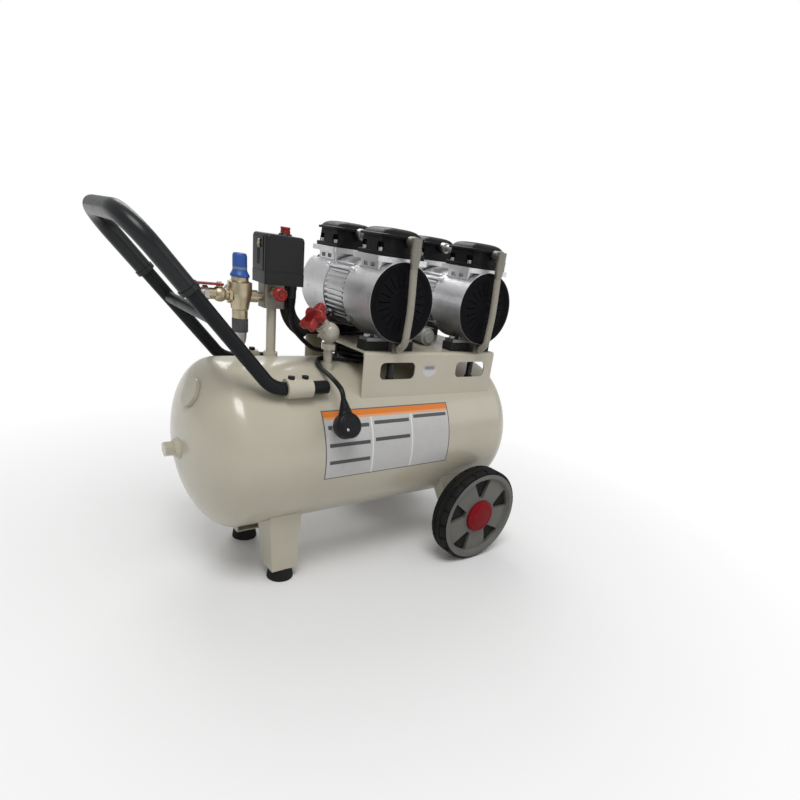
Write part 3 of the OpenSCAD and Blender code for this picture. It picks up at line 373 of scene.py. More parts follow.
def applied(piece, kind, **settings):
    """Adds a modifier, sets it and applies it."""
    only(piece)
    bpy.ops.object.modifier_add(type=kind)
    modifier = piece.modifiers[-1]
    for key, value in settings.items():
        setattr(modifier, key, value)
    bpy.ops.object.modifier_apply(modifier=modifier.name)
    return piece


def eased(piece, width, segments=2, angle=28):
    """Rounds the sharp edges by width and shades the rest smooth."""
    if width:
        applied(piece, "BEVEL", width=width, segments=segments, limit_method="ANGLE",
                angle_limit=math.radians(angle), use_clamp_overlap=True)
    only(piece)
    bpy.ops.object.shade_smooth_by_angle(angle=math.radians(50 if width else 32))
    if width:
        applied(piece, "WEIGHTED_NORMAL", keep_sharp=True, weight=80)
    return piece


def settle(piece):
    """Puts the object's own place and turn into its mesh."""
    only(piece)
    bpy.ops.object.transform_apply(location=True, rotation=True, scale=True)
    return piece


def faced(piece):
    """Merges doubled points and turns all faces outwards."""
    editing(piece)
    bpy.ops.mesh.remove_doubles(threshold=2e-6)
    bpy.ops.mesh.normals_make_consistent(inside=False)
    return done(piece)


def aimed(piece, place, towards=(0, 0, 1), roll=0.0):
    """Moves a piece made about the origin, with its own +Z along towards."""
    turn = Vector((0, 0, 1)).rotation_difference(Vector(towards)).to_matrix().to_4x4()
    piece.matrix_world = Matrix.Translation(Vector(place)) @ turn @ Matrix.Rotation(roll, 4, "Z")
    return settle(piece)


def line_of(name, points):
    """A chain of points joined by edges, drawn by extruding one point."""
    piece = fresh(name, bpy.ops.mesh.primitive_plane_add, size=0.001, location=(0, 0, 0))
    editing(piece)
    bpy.ops.mesh.merge(type="CENTER")
    bpy.ops.transform.translate(value=points[0])
    for before, after in zip(points, points[1:]):
        step = Vector(after) - Vector(before)
        bpy.ops.mesh.extrude_vertices_move(TRANSFORM_OT_translate={"value": step})
    return done(piece)


def placed(piece, place, towards, roll, ease):
    """Closes a piece made in edit mode about the origin, puts it in its place and eases it."""
    aimed(faced(done(piece)), place, towards, roll)
    return eased(piece, ease)


def turned(name, profile, place, towards=(0, 0, 1), steps=64):
    """A lathe piece: (radius, height) points spun about an axis through place."""
    piece = line_of(name, [(r, 0, h) for r, h in profile])
    editing(piece)
    bpy.ops.mesh.spin(steps=steps, angle=FULL_TURN, center=(0, 0, 0), axis=(0, 0, 1))
    return placed(piece, place, towards, 0.0, 0.0)


def washer(inner, outer, height):
    """The closed profile of a flat ring."""
    return [(inner, 0), (outer, 0), (outer, height), (inner, height), (inner, 0)]


def arc(centre, radius, start, end, steps=6):
    """Points along an arc, in degrees."""
    angles = [math.radians(start + (end - start) * i / steps) for i in range(steps + 1)]
    return [(centre[0] + radius * math.cos(a), centre[1] + radius * math.sin(a)) for a in angles]


def rounded(width, depth, radius, steps=5):
    """A rectangle with round corners, about the origin."""
    w, d = width / 2 - radius, depth / 2 - radius
    corners = [(w, d, 0), (-w, d, 90), (-w, -d, 180), (w, -d, 270)]
    return [p for x, y, a in corners for p in arc((x, y), radius, a, a + 90, steps)]


def lofted(name, outline, levels, place=(0, 0, 0), towards=(0, 0, 1), roll=0.0, ease=0.0):
    """An outline raised through levels, each a height and its shares of the outline's width and depth."""
    piece = line_of(name, [(x, y, 0) for x, y in outline])
    editing(piece)
    bpy.ops.mesh.edge_face_add()
    height, wide, deep = 0.0, 1.0, 1.0
    for level, *shares in levels:
        across, along = shares[0], shares[-1]
        bpy.ops.mesh.extrude_region_move(TRANSFORM_OT_translate={"value": (0, 0, level - height)})
        bpy.ops.transform.resize(value=(across / wide, along / deep, 1), center_override=(0, 0, 0))
        height, wide, deep = level, across, along
    return placed(piece, place, towards, roll, ease)


def plate(name, outline, height, *placing, **settings):
    """A flat outline, filled and raised."""
    return lofted(name, outline, [(height, 1.0)], *placing, **settings)


def block(name, low, high, ease=0.0):
    """A rectangular block between two corners."""
    low, high = Vector(low), Vector(high)
    piece = fresh(name, bpy.ops.mesh.primitive_cube_add, size=1, location=(low + high) / 2, scale=high - low)
    return eased(settle(piece), ease)


def rod(name, start, end, radius, sides=24, ease=0.0):
    """A round or many-sided bar between two points."""
    start, end = Vector(start), Vector(end)
    piece = fresh(name, bpy.ops.mesh.primitive_cone_add, vertices=sides, radius1=radius, radius2=radius,
                  depth=(end - start).length, location=(0, 0, 0))
    return eased(aimed(piece, (start + end) / 2, end - start), ease)


def smoothed(points, per=6):
    """A dense line through the points, a Catmull-Rom curve."""
    line = [Vector(p) for p in points]
    line = [2 * line[0] - line[1]] + line + [2 * line[-1] - line[-2]]
    dense = []
    for a, b, c, d in zip(line, line[1:], line[2:], line[3:]):
        for k in range(per):
            t = k / per
            bend = (2 * a - 5 * b + 4 * c - d) * t ** 2 + (3 * b - a - 3 * c + d) * t ** 3
            dense.append(0.5 * (2 * b + (c - a) * t + bend))
    return dense + [line[-2]]


def swept(name, points, radius, sides=24, tapers=None):
    """A round tube along a route, with closed ends and a UV map that runs along it."""
    shape = bpy.data.curves.new(name, "CURVE")
    shape.dimensions = "3D"
    shape.bevel_depth = radius
    shape.bevel_resolution = sides // 4 - 1
    shape.use_fill_caps = True
    spline = shape.splines.new("POLY")
    spline.points.add(len(points) - 1)
    for i, point in enumerate(points):
        spline.points[i].co = (*point, 1)
        spline.points[i].radius = tapers[i] if tapers else 1
    return eased(faced(as_mesh(name, shape)), 0)


def joined(name, pieces):
    """Several solids as one piece."""
    bpy.ops.object.select_all(action="DESELECT")
    for piece in pieces:
        piece.select_set(True)
    bpy.context.view_layer.objects.active = pieces[0]
    bpy.ops.object.join()
    pieces[0].name = name
    return pieces[0]


def parted(piece, name, test):
    """Splits off the faces that pass a test as a piece of their own."""
    editing(piece)
    pick(piece, test)
    bpy.ops.mesh.separate(type="SELECTED")
    done(piece)
    twin = next(o for o in bpy.context.selected_objects if o is not piece)
    twin.name = name
    for part in (piece, twin):
        editing(part)
        bpy.ops.mesh.fill_holes(sides=0)
        done(part)
    return twin


def copied(piece, name, shift):
    """A copy with its own mesh, moved."""
    only(piece)
    bpy.ops.object.duplicate(linked=False)
    twin = bpy.context.object
    twin.name = name
    bpy.ops.transform.translate(value=shift)
    return settle(twin)


def cut(piece, cutter):
    """Cuts a piece with another, which is used up."""
    applied(piece, "BOOLEAN", operation="DIFFERENCE", object=cutter, solver="EXACT")
    bpy.data.objects.remove(cutter)
    return piece


def bare_copy(node, name):
    """A merged copy of a CAD node, its flat faces whole again."""
    piece = linked(name, frame["nodes"][node].data.copy())
    editing(piece)
    bpy.ops.mesh.customdata_custom_splitnormals_clear()
    bpy.ops.mesh.remove_doubles(threshold=3e-6)
    bpy.ops.mesh.dissolve_limited(angle_limit=math.radians(0.6))
    return done(piece)


def dressed(node, width, segments=2, angle=28):
    """A CAD node's own shape with its edges eased."""
    return eased(bare_copy(node, node + "_skin"), width, segments, angle)


SLOT_OF = {part["node"]: part["material_slot"] for part in frame["record"]["subparts"]}


def fitted(piece, slot, body="root", instead=(), finish=None):
    """Gives a finished piece its material, its body and the CAD nodes that it stands for."""
    piece.data.materials.clear()
    piece.data.materials.append(finish or FINISHES[slot])
    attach(piece, body)
    if instead:
        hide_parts(*instead)
    return piece


# ---- tank, saddle, brackets


def make_tank():
    """Rolled shell and two domed heads as one closed form."""
    shell_half = TANK_HALF - TANK_R / 2 + 0.0002
    dome = TANK_R / 2
    side = [(TANK_R * math.cos(a), shell_half + dome * math.sin(a))
            for a in (math.pi / 2 * i / 24 for i in range(25))]
    profile = [(max(r, 0.0), h) for r, h in side]
    profile = [(r, -h) for r, h in reversed(profile)] + profile
    fitted(turned("tank", profile, TANK, (1, 0, 0), steps=160), "cream_paint", instead=["tank_shell"])


def weld_bead(name, points, radius=0.0022):
    """A weld bead along a line, its ripples a bead's width apart."""
    line = [Vector(p) for p in points]
    ends = [0.35] + [1.0] * (len(line) - 2) + [0.35]
    swell = [e * (1 + 0.1 * (i % 2)) for i, e in enumerate(ends)]
    return swept(name, line, radius, sides=12, tapers=swell)


def on_shell(x, y, lift=0.0, below=False):
    """The point of the tank's straight shell over or under (x, y)."""
    rise = math.sqrt(TANK_R ** 2 - y ** 2) * (-1 if below else 1)
    out = Vector((0, y, rise)).normalized() * (TANK_R + lift)
    return Vector((x, out.y, TANK.z + out.z))


def spread(start, end, count):
    return [start + (end - start) * i / count for i in range(count + 1)]


def welded(node, name, width, lines, radius=0.002, lift=0.0004, **settings):
    """A CAD node with eased edges and weld beads along the tank: each line is a start, end, y and steps."""
    parts = [dressed(node, width, **settings)]
    below = node.endswith("brackets")
    for start, end, y, steps in lines:
        points = [on_shell(x, y, lift, below) for x in spread(start, end, steps)]
        parts.append(weld_bead("weld", points, radius))
    fitted(joined(name, parts), "cream_paint", instead=[node])


def make_saddle():
    """Folded sheet saddle, stitched to the tank along both skirts."""
    length, count = 0.034, 5
    first = SADDLE_LOW.x + 0.004
    pitch = (SADDLE_HIGH.x - 0.004 - first - length) / (count - 1)
    starts = [first + i * pitch for i in range(count)]
    y = SADDLE_HIGH.y - 0.0028
    lines = [(start, start + length, side * y, 18) for side in (-1, 1) for start in starts]
    welded("saddle", "saddle_plate", 0.0007, lines, 0.0022, 0.0002)


def make_brackets():
    """Legs and wheel brackets: folded channels, welded to the tank's belly."""
    for node, name in (("leg_brackets", "legs"), ("wheel_brackets", "wheel_arms")):
        low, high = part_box(node)
        y = high.y - 0.0016
        lines = [(low.x + 0.004, high.x - 0.004, side * y, 36) for side in (-1, 1)]
        welded(node, name, 0.0011, lines, segments=3)


def make_sockets():
    """The two tubes on the tank's shoulders that hold the handle, with their weld beads."""
    low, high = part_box("handle_sockets")
    lines = [(low.x + 0.003, high.x - 0.003, side * (high.y - inset), 20)
             for side in (-1, 1) for inset in (0.0195, 0.0285)]
    welded("handle_sockets", "sockets", 0.0008, lines)


def label_finish():
    """A blank printed sheet: an orange head band, three grey columns and plain dark bars."""
    f = Finish("blank label", ior=1.5, coat_weight=0.1, coat_roughness=0.2)
    x, y, z = f.axes()
    across = (x - LABEL_LOW_X) / (LABEL_HIGH_X - LABEL_LOW_X)
    fall = (0 - y).maths("ARCTAN2", z - TANK.z)
    down = fall.fades(LABEL_TOP, LABEL_BOTTOM)
    paper = f.mix(f.noise(60, 4), (0.4, 0.395, 0.39), (0.46, 0.455, 0.45))
    lines = (down * 46).maths("FRACT")
    faint = (lines > 0.5) * f.ramp(f.noise(520, 2, stretch=(1, 0.4, 0.4)), (0.38, 0.0), (0.62, 1.0))
    inside = (across > 0.03) * (across < 0.97) * (down > 0.2) * (down < 0.95)
    base = f.mix(faint * inside * 0.3, paper, (0.27, 0.27, 0.27))
    for left, right, rows in LABEL_COLUMNS:
        column = (across > left) * (across < right)
        for row in rows:
            bar = column * (down > row) * (down < row + 0.055)
            base = f.mix(bar, base, (0.045, 0.045, 0.048))
    for edge in (0.345, 0.665):
        base = f.mix((across > edge - 0.006) * (across < edge + 0.006), base, (0.6, 0.6, 0.59))
    base = f.mix(down < 0.135, base, (0.6, 0.155, 0.006))
    base = f.mix((down > 0.1) * (down < 0.135), base, (0.6, 0.27, 0.11))
    border = (across < 0.008).maths("MAXIMUM", across > 0.992)
    border = border.maths("MAXIMUM", (down < 0.018).maths("MAXIMUM", down > 0.985))
    base = f.mix(border, base, (0.1, 0.095, 0.085))
    return f.finished(base, 0.34 + f.noise(40, 4) * 0.12, f.noise(300, 2), 0.00005, 0.4)


LABEL_LOW_X = TANK.x - 0.135
LABEL_HIGH_X = TANK.x + 0.118
LABEL_TOP = math.radians(54)
LABEL_BOTTOM = math.radians(101)
LABEL_COLUMNS = [(0.03, 0.325, (0.22, 0.47, 0.72)), (0.365, 0.645, (0.2, 0.45)), (0.685, 0.975, (0.16,))]


def make_label():
    """A thin sheet stuck round the front of the tank."""
    edge = (-(TANK_R + 0.00005) * math.sin(LABEL_TOP), (TANK_R + 0.00005) * math.cos(LABEL_TOP))
    label = line_of("tank_label", [(x, *edge) for x in spread(LABEL_LOW_X, LABEL_HIGH_X, 6)])
    editing(label)
    bpy.ops.mesh.spin(steps=40, angle=LABEL_TOP - LABEL_BOTTOM, center=(0, 0, 0), axis=(1, 0, 0))
    bpy.ops.mesh.select_all(action="SELECT")
    bpy.ops.transform.translate(value=(0, 0, TANK.z))
    done(label)
    applied(label, "SOLIDIFY", thickness=0.0003, offset=1.0)
    fitted(eased(faced(label), 0), "cream_paint", finish=label_finish())


def make_sticker():
    """A small plain oval sticker on the saddle, between its slots."""
    f = Finish("plain sticker", coat_weight=0.3)
    x, _, z = f.axes()
    place = SADDLE_LOW.x + 0.135
    across = (x - place).maths("ABSOLUTE").fades(0.0135, 0.0085)
    drop = z - (SADDLE_HIGH.z - 0.0265)
    band = across * drop.maths("ABSOLUTE").fades(0.0048, 0.0015)
    paper = f.mix((z - SADDLE_HIGH.z).fades(-0.02, -0.032), (0.4, 0.375, 0.33), (0.5, 0.485, 0.5))
    base = f.mix(band * (0.75 + f.noise(120, 3) * 0.2), paper, (0.13, 0.13, 0.135))
    outline = [(0.0155 * math.cos(a), 0.0125 * math.sin(a)) for a in circle(40)]
    spot = (place, SADDLE_LOW.y - 0.00005, SADDLE_HIGH.z - 0.03)
    sticker = plate("saddle_sticker", outline, 0.0004, spot, (0, -1, 0), ease=0.00015)
    fitted(sticker, "cream_paint", finish=f.finished(base, 0.35))


def turned_node(node, profile, place, towards, body, steps=64):
    """A lathe piece that stands for a CAD node."""
    fitted(turned(node + "_skin", profile, place, towards, steps), SLOT_OF[node], body, [node])


def eased_nodes(*nodes):
    """CAD nodes that keep their own shape, each with its name, the width of its eased edges and its body."""
    for node, width, *body in nodes:
        fitted(dressed(node, width), SLOT_OF[node], *body, instead=[node])


def make_fittings():
    eased_nodes(("tank_fittings", 0.0006), ("drain_valve", 0.0004), ("drain_knob", 0.0005, "drain_knob"),
                ("rubber_feet", 0.0008), ("axle_hardware", 0.0005), ("motor_pads", 0.0012))


def make_screws():
    """The handle's two pairs of black socket screws, and the plated bolts of the rest."""
    screws = dressed("bolts", 0.0004)
    low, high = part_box("handle_sockets")
    sockets = parted(screws, "handle_screws", lambda spot: spot.z > low.z and spot.x < high.x)
    fitted(screws, "steel", instead=["bolts"])
    fitted(sockets, "steel", finish=FINISHES["black_paint"])


# ---- wheels

TYRE_STEPS = 120
BLOCK_STEPS = 6
RIM_R = extent("rim_front").x / 2
WEB_DEPTH = 0.0124


def make_tyre(end):
    """Solid rubber tyre: round shoulders cut into blocks, and two grooves round the tread."""
    node = "tyre_" + end
    centre = middle(node)
    half = extent(node).y / 2
    inner = extent("rim_" + end).z / 2 + 0.0001
    shoulder = arc((WHEEL_R - 0.006, half - 0.006), 0.006, 90, 0, 4)
    side = [(inner, half), (inner + 0.0012, half), (inner + 0.0018, half + 0.0006), (inner + 0.0026, half)]
    tread = [(WHEEL_R, half - 0.011), (WHEEL_R - 0.0016, half - 0.0116), (WHEEL_R - 0.0016, half - 0.0134)]
    right = side[:2] + shoulder + tread + [(WHEEL_R, half - 0.014)]
    profile = right + [(r, -h) for r, h in reversed(right)]
    tyre = turned(node + "_skin", profile + [profile[0]], centre, (0, 1, 0), steps=TYRE_STEPS)

    def in_notch(spot):
        from_hub = spot - centre
        step = int((math.atan2(from_hub.z, from_hub.x) + math.pi) / FULL_TURN * TYRE_STEPS)
        away = math.hypot(from_hub.x, from_hub.z)
        return step % BLOCK_STEPS == 0 and away > WHEEL_R - 0.0045 and abs(from_hub.y) > half - 0.0112

    editing(tyre)
    pick(tyre, in_notch)
    bpy.ops.mesh.extrude_region_shrink_fatten(TRANSFORM_OT_shrink_fatten={"value": -0.0018})
    done(tyre)
    return eased(tyre, 0)


def make_hub_cap(end, side):
    """Domed snap-on cap with a ring pressed into it."""
    node = "hub_cap_" + end
    radius = extent(node).x / 2
    place = middle(node) - Vector((0, side * extent(node).y / 2, 0))
    dome = [(radius, 0.0038), (radius - 0.0008, 0.005), (radius - 0.003, 0.0062), (radius - 0.0065, 0.0071)]
    ring = [(radius - 0.0078, 0.0066), (radius - 0.0088, 0.0066), (radius - 0.0098, 0.0076)]
    profile = [(0, 0), (radius, 0)] + dome + ring + [(0.016, 0.0084), (0.008, 0.0088), (0, 0.00895)]
    turned_node(node, profile, place, (0, side, 0), end + "_wheel", steps=72)


def make_wheels():
    for end, side in (("front", -1), ("rear", 1)):
        body = end + "_wheel"
        fitted(make_tyre(end), "tyre", body, ["tyre_" + end])
        fitted(dressed("rim_" + end, 0.0009, segments=3), "wheel_grey", body, ["rim_" + end])
        make_hub_cap(end, side)
        centre = middle("rim_" + end)
        floor_y = side * (abs(centre.y) + extent("rim_" + end).y / 2 - WEB_DEPTH)
        # a thin black disc on each window pocket's floor: painted shade that makes the rim's windows look
        # dark
        pocket_shade_disc = turned("wheel_web_" + end, washer(0.034, RIM_R - 0.0115, 0.0006),
                     (centre.x, floor_y, centre.z), (0, side, 0))
        fitted(pocket_shade_disc, "wheel_grey", body, finish=FINISHES["black_rubber"])


# ---- handle

HANDLE_TUBE_R = 0.01
HANDLE_WALL = 0.0018


def make_handle_plugs():
    """Rubber plugs in the open ends of the handle's tube, which keeps the CAD model's mesh."""
    low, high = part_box("handle_frame")
    bore = HANDLE_TUBE_R - HANDLE_WALL - 0.0001
    rim = HANDLE_TUBE_R - 0.0002
    profile = [(0, -0.008), (bore, -0.008), (bore, 0), (rim, 0), (rim, 0.001), (rim - 0.0014, 0.0022),
               (rim - 0.004, 0.0027), (0, 0.0029)]
    plugs = []
    for side in (-1, 1):
        place = (high.x, side * (high.y - HANDLE_TUBE_R), low.z + HANDLE_TUBE_R)
        plugs.append(turned("handle_plug", profile, place, (1, 0, 0), steps=40))
    fitted(joined("handle_plugs", plugs), "black_rubber")


# ---- pumps

CASE_R = (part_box("crankcases")[1].x - PUMPS["b"].x)
HEAD_SPAN = 0.078
HEAD_Y = HEAD_HIGH.y - HEAD_SPAN / 2
HEAD_CENTRES = [(name, side, Vector((place.x, side * HEAD_Y, HEAD_LOW.z)))
                for name, place in PUMPS.items() for side in (-1, 1)]
SCREW_Y = 0.022
STATOR_HALF = extent("motor_housings").y / 2
TIE_ROD_ANGLES = [math.radians(angle) for angle in (38, 142, 218, 322)]


def make_castings():
    """The die-cast cases, finned motor housings, cylinder blocks and the pipes between the heads."""
    eased_nodes(("crankcases", 0.001), ("motor_housings", 0.0006), ("cylinders", 0.0006),
                ("transfer_tubes", 0.0005))


def make_tie_rods():
    """Four through-bolts round each motor, with the lugs that they clamp."""
    for name, centre in PUMPS.items():
        parts = []
        for angle in TIE_ROD_ANGLES:
            x = centre.x + (CASE_R - 0.0008) * math.cos(angle)
            z = SHAFT_Z + (CASE_R - 0.0008) * math.sin(angle)

            def bar(start, end, radius, sides, ease=0.0):
                parts.append(rod("bar", (x, start, z), (x, end, z), radius, sides, ease))

            for side in (-1, 1):
                bar(side * (STATOR_HALF + 0.0005), side * (STATOR_HALF + 0.0105), 0.0052, 24, 0.0008)
                bar(side * (STATOR_HALF + 0.01), side * (STATOR_HALF + 0.0138), 0.0036, 6, 0.0003)
            bar(-STATOR_HALF - 0.001, STATOR_HALF + 0.001, 0.0021, 16)
        fitted(joined("tie_rods_" + name, parts), "cast_alloy")


def make_head_shape():
    """A cylinder head: flange, body with a pocket for each screw, and a domed cover with a brim."""
    top = HEAD_HIGH.z - HEAD_LOW.z
    brim = top - 0.0135
    flange = plate("head", rounded(0.078, 0.076, 0.005), 0.006, ease=0.0012)
    body = lofted("head_body", rounded(0.074, 0.072, 0.011), [(0.01, 0.98), (brim - 0.004, 0.95)],
                  (0, 0, 0.005))
    pockets = [block("pocket", (x - 0.015, y - 0.0075, 0.0062), (x + 0.015, y + 0.0075, 0.019), 0.003)
               for x in (-0.043, 0.043) for y in (-SCREW_Y, SCREW_Y)]
    cut(body, joined("pockets", pockets))
    eased(body, 0.0006)
    dome = [(0.0008, 1.0), (0.003, 1.0), (0.0036, 0.985), (0.0042, 0.9), (0.006, 0.865), (0.0085, 0.81),
            (0.0108, 0.72), (0.0124, 0.58), (0.0132, 0.4), (0.0135, 0.2)]
    cover = lofted("head_cover", rounded(0.08, 0.078, 0.014, 8), dome, (0, 0, brim))
    eased(cover, 0)
    return joined("head", [flange, body, cover])


def make_heads():
    shape = make_head_shape()
    for name, side, place in HEAD_CENTRES:
        end = "front" if side < 0 else "rear"
        head = copied(shape, "head_%s_%s" % (name, end), place)
        fitted(head, "head_black", instead=["heads"])
    bpy.data.objects.remove(shape)


def make_fan_covers():
    """Shallow domed covers, moulded in rings, with a circle of narrow slots for the fan."""
    low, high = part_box("fan_covers")
    radius = PUMPS["a"].x - low.x
    thick = 0.0045
    rings = []
    for i in range(5):
        r = radius - 0.007 - i * 0.0092
        h = thick * (1 - (r / radius) ** 2 * 0.75)
        rings += [(r, h - 0.0001), (r - 0.0009, h + 0.0003),
                  (r - 0.0021, h + 0.0003), (r - 0.003, h - 0.00005)]
    lip = CASE_R - 0.0008
    rim = abs(CASE_FRONT) - (high.y - thick)
    profile = [(0, 0), (radius - 0.0002, 0), (radius - 0.0002, rim), (lip, rim), (lip, rim + 0.0006),
               (lip - 0.001, rim + 0.0012), (radius, rim + 0.0014)]
    profile += rings + [(0, thick - 0.0001)]
    for name, place in PUMPS.items():
        for side, end in ((-1, "front"), (1, "rear")):
            face = Vector((place.x, side * (high.y - thick), place.z))
            cover = turned("fan_cover_%s_%s" % (name, end), profile, face, (0, side, 0), steps=72)
            slots = []
            for i in range(20):
                outline = [(x + 0.0335, y) for x, y in rounded(0.021, 0.0013, 0.0006, 3)]
                start = face - Vector((0, side * 0.002, 0))
                slots.append(plate("slot", outline, 0.012, start, (0, side, 0), FULL_TURN * i / 20))
            cut(cover, joined("slots", slots))
            eased(cover, 0)
            fitted(cover, "cover_black", instead=["fan_covers"])


def make_capacitors():
    """Two start capacitors under the pumps: rolled cans with a boss over the terminals."""
    low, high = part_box("capacitors")
    radius = (high.z - low.z) / 2
    length = high.y - low.y
    can = [(0, 0), (0.0095, 0), (0.0105, 0.0015), (0.011, 0.0045), (radius - 0.001, 0.0045),
           (radius, 0.0055), (radius, 0.0085), (radius - 0.0006, 0.0095), (radius - 0.0006, length - 0.003),
           (radius - 0.0025, length - 0.0005), (0, length)]
    for name, x in (("a", low.x + radius), ("b", high.x - radius)):
        piece = turned("capacitor_" + name, can, (x, low.y, low.z + radius), (0, 1, 0), steps=48)
        fitted(piece, "capacitor_case", instead=["capacitors"])


# ---- air hoses

HOSE_SHIFT = 0.006
HOSE_R = 0.00575
HOSE_BEND = 0.02


def make_hoses():
    """A braided hose from each front head down to the saddle, crimped at both ends."""
    low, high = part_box("head_hoses")
    y = low.y + HOSE_R
    foot = low.z + HOSE_R
    for name, place in PUMPS.items():
        x = place.x + HOSE_SHIFT
        straight = [(0.0, high.z), (0.0, high.z - 0.022), (0.0008, high.z - 0.045), (0.0016, high.z - 0.07),
                    (0.0018, high.z - 0.09), (0.001, high.z - 0.108)]
        line = [(x + bow, y - bow * 0.5, z) for bow, z in straight]
        line += [(x, y + HOSE_BEND - r, z + foot) for r, z in arc((0, HOSE_BEND), HOSE_BEND, 0, -90, 6)]
        hose = swept("hose_" + name, smoothed(line, 5), HOSE_R, sides=24)
        fitted(hose, "hose_braid", instead=["head_hoses"])
        ferrule = [(0, 0), (HOSE_R + 0.0026, 0), (HOSE_R + 0.0031, -0.002), (HOSE_R + 0.0026, -0.005),
                   (HOSE_R + 0.003, -0.007), (HOSE_R + 0.0022, -0.01), (HOSE_R + 0.0024, -0.012),
                   (HOSE_R + 0.0008, -0.022), (HOSE_R + 0.0003, -0.028), (0, -0.028)]
        collar = turned("ferrule", ferrule, (x, y, high.z + 0.004), steps=40)
        crimp = [(0, 0), (HOSE_R + 0.0018, 0), (HOSE_R + 0.0022, 0.002), (HOSE_R + 0.0016, 0.004),
                 (HOSE_R + 0.002, 0.006), (HOSE_R + 0.0014, 0.009), (0, 0.009)]
        end = turned("crimp", crimp, (x, high.y + 0.0005, foot), (0, -1, 0), steps=40)
        fitted(joined("ferrules_" + name, [collar, end]), "zinc")


def make_check_valves():
    """Elbows on the heads in cast zinc, and the check valves under the saddle, made black as painted shade
    so that they sink into the shadow there.
    """
    fittings = dressed("hose_fittings", 0.0007)
    under = parted(fittings, "check_valves", lambda spot: spot.z < SADDLE_HIGH.z - 0.004)
    fitted(fittings, "steel", instead=["hose_fittings"], finish=FINISHES["zinc"])
    # painted shade: the part of the fittings under the saddle gets a black finish
    fitted(under, "steel", finish=FINISHES["sleeve_black"])


# ---- pressure switch and manifold

COVER_LOW, COVER_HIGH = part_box("switch_cover")
COVER_WALL = 0.0025
COLLAR_H = 0.0025
KNOB = middle("switch_knob")
KNOB_R = extent("switch_knob").x / 2
PIPE_R = 0.0075
STRAIN_CONE_H = 0.02305
MANIFOLD_DROP = 0.0542


def make_switch_cover():
    """Moulded hood with round upper edges, a groove behind its front edge and a collar round the knob."""
    width, depth = COVER_HIGH.x - COVER_LOW.x, COVER_HIGH.y - COVER_LOW.y
    top = COVER_HIGH.z - COLLAR_H
    tall = top - COVER_LOW.z
    centre = (COVER_LOW + COVER_HIGH) / 2
    levels = [(0.0012, 0.985), (0.0016, 1.0), (tall - 0.006, 0.992), (tall - 0.0034, 0.975),
              (tall - 0.0014, 0.945), (tall - 0.0003, 0.9), (tall, 0.86)]
    cover = lofted("switch_cover_skin", rounded(width, depth, 0.006, 8), levels,
                   (centre.x, centre.y, COVER_LOW.z))
    inner_low = (COVER_LOW.x + COVER_WALL, COVER_LOW.y + COVER_WALL, COVER_LOW.z - 0.002)
    inner_high = (COVER_HIGH.x - COVER_WALL, COVER_HIGH.y - COVER_WALL, top - COVER_WALL)
    cut(cover, block("hollow", inner_low, inner_high, 0.003))
    groove_low = (COVER_LOW.x - 0.002, COVER_LOW.y + 0.0085, COVER_LOW.z - 0.001)
    groove_high = (COVER_LOW.x + 0.0019, COVER_LOW.y + 0.0125, top - 0.004)
    cut(cover, block("groove", groove_low, groove_high))
    cut(cover, rod("bore", (KNOB.x, KNOB.y, top - 0.02), (KNOB.x, KNOB.y, top + 0.02), KNOB_R + 0.0001, 48))
    eased(cover, 0.0005)
    outer = KNOB_R + 0.0022
    ring = [(KNOB_R + 0.0001, -0.0015), (outer + 0.001, -0.0015), (outer + 0.0006, 0.0006),
            (outer, COLLAR_H - 0.0006), (outer - 0.0006, COLLAR_H), (KNOB_R + 0.0001, COLLAR_H)]
    collar = turned("collar", ring + [ring[0]], (KNOB.x, KNOB.y, top), steps=48)
    ribs = []
    for i in range(3):
        y = COVER_LOW.y + 0.024 + i * 0.0035
        low = (COVER_LOW.x - 0.0004, y, COVER_LOW.z + 0.008)
        ribs.append(block("rib", low, (COVER_LOW.x + 0.001, y + 0.0014, COVER_LOW.z + 0.03), 0.0002))
    fitted(joined("switch_hood", [cover, collar] + ribs), "switch_black", instead=["switch_cover"])


def make_unloader():
    """Small brass unloader screw and its tube on the switch's side."""
    spot = Vector((COVER_LOW.x - 0.0002, COVER_LOW.y + 0.023, COVER_HIGH.z - 0.0175))
    out = Vector((-1, 0, 0))
    shank = mm([(0, 0), (2.8, 0), (3, 0.6), (2.8, 2.6), (2.2, 3.2), (1, 3.2), (0.9, 2.7), (0, 2.7)])
    barrel = turned("unloader_barrel", shank, spot, out, steps=40)
    tube = mm([(0, -5.5), (1.2, -5.5), (1.7, -5), (1.7, 5.6), (1.3, 6.2), (0, 6.2)])
    nozzle = turned("unloader_nozzle", tube, spot + out * 0.0012, steps=32)
    fitted(joined("unloader_valve", [barrel, nozzle]), "brass")


def make_switch():
    """The base with its glands, the hood, and the red push-pull knob."""
    base = dressed("switch_base", 0.0006)
    cone_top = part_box("switch_base")[0].z + STRAIN_CONE_H
    relief = parted(base, "relief", lambda spot: spot.z < cone_top)
    bpy.data.objects.remove(relief)
    fitted(base, "switch_black", instead=["switch_base"])
    make_switch_cover()
    make_unloader()
    tall = extent("switch_knob").z
    profile = [(0, 0), (KNOB_R, 0), (KNOB_R, tall - 0.0052), (KNOB_R - 0.0007, tall - 0.0046),
               (KNOB_R - 0.0007, tall - 0.004), (KNOB_R, tall - 0.0034), (KNOB_R, tall - 0.0014),
               (KNOB_R - 0.0005, tall - 0.0004), (KNOB_R - 0.0016, tall), (KNOB_R - 0.003, tall - 0.0003),
               (0, tall - 0.0009)]
    place = KNOB - Vector((0, 0, tall / 2))
    turned_node("switch_knob", profile, place, (0, 0, 1), "switch_knob", steps=56)


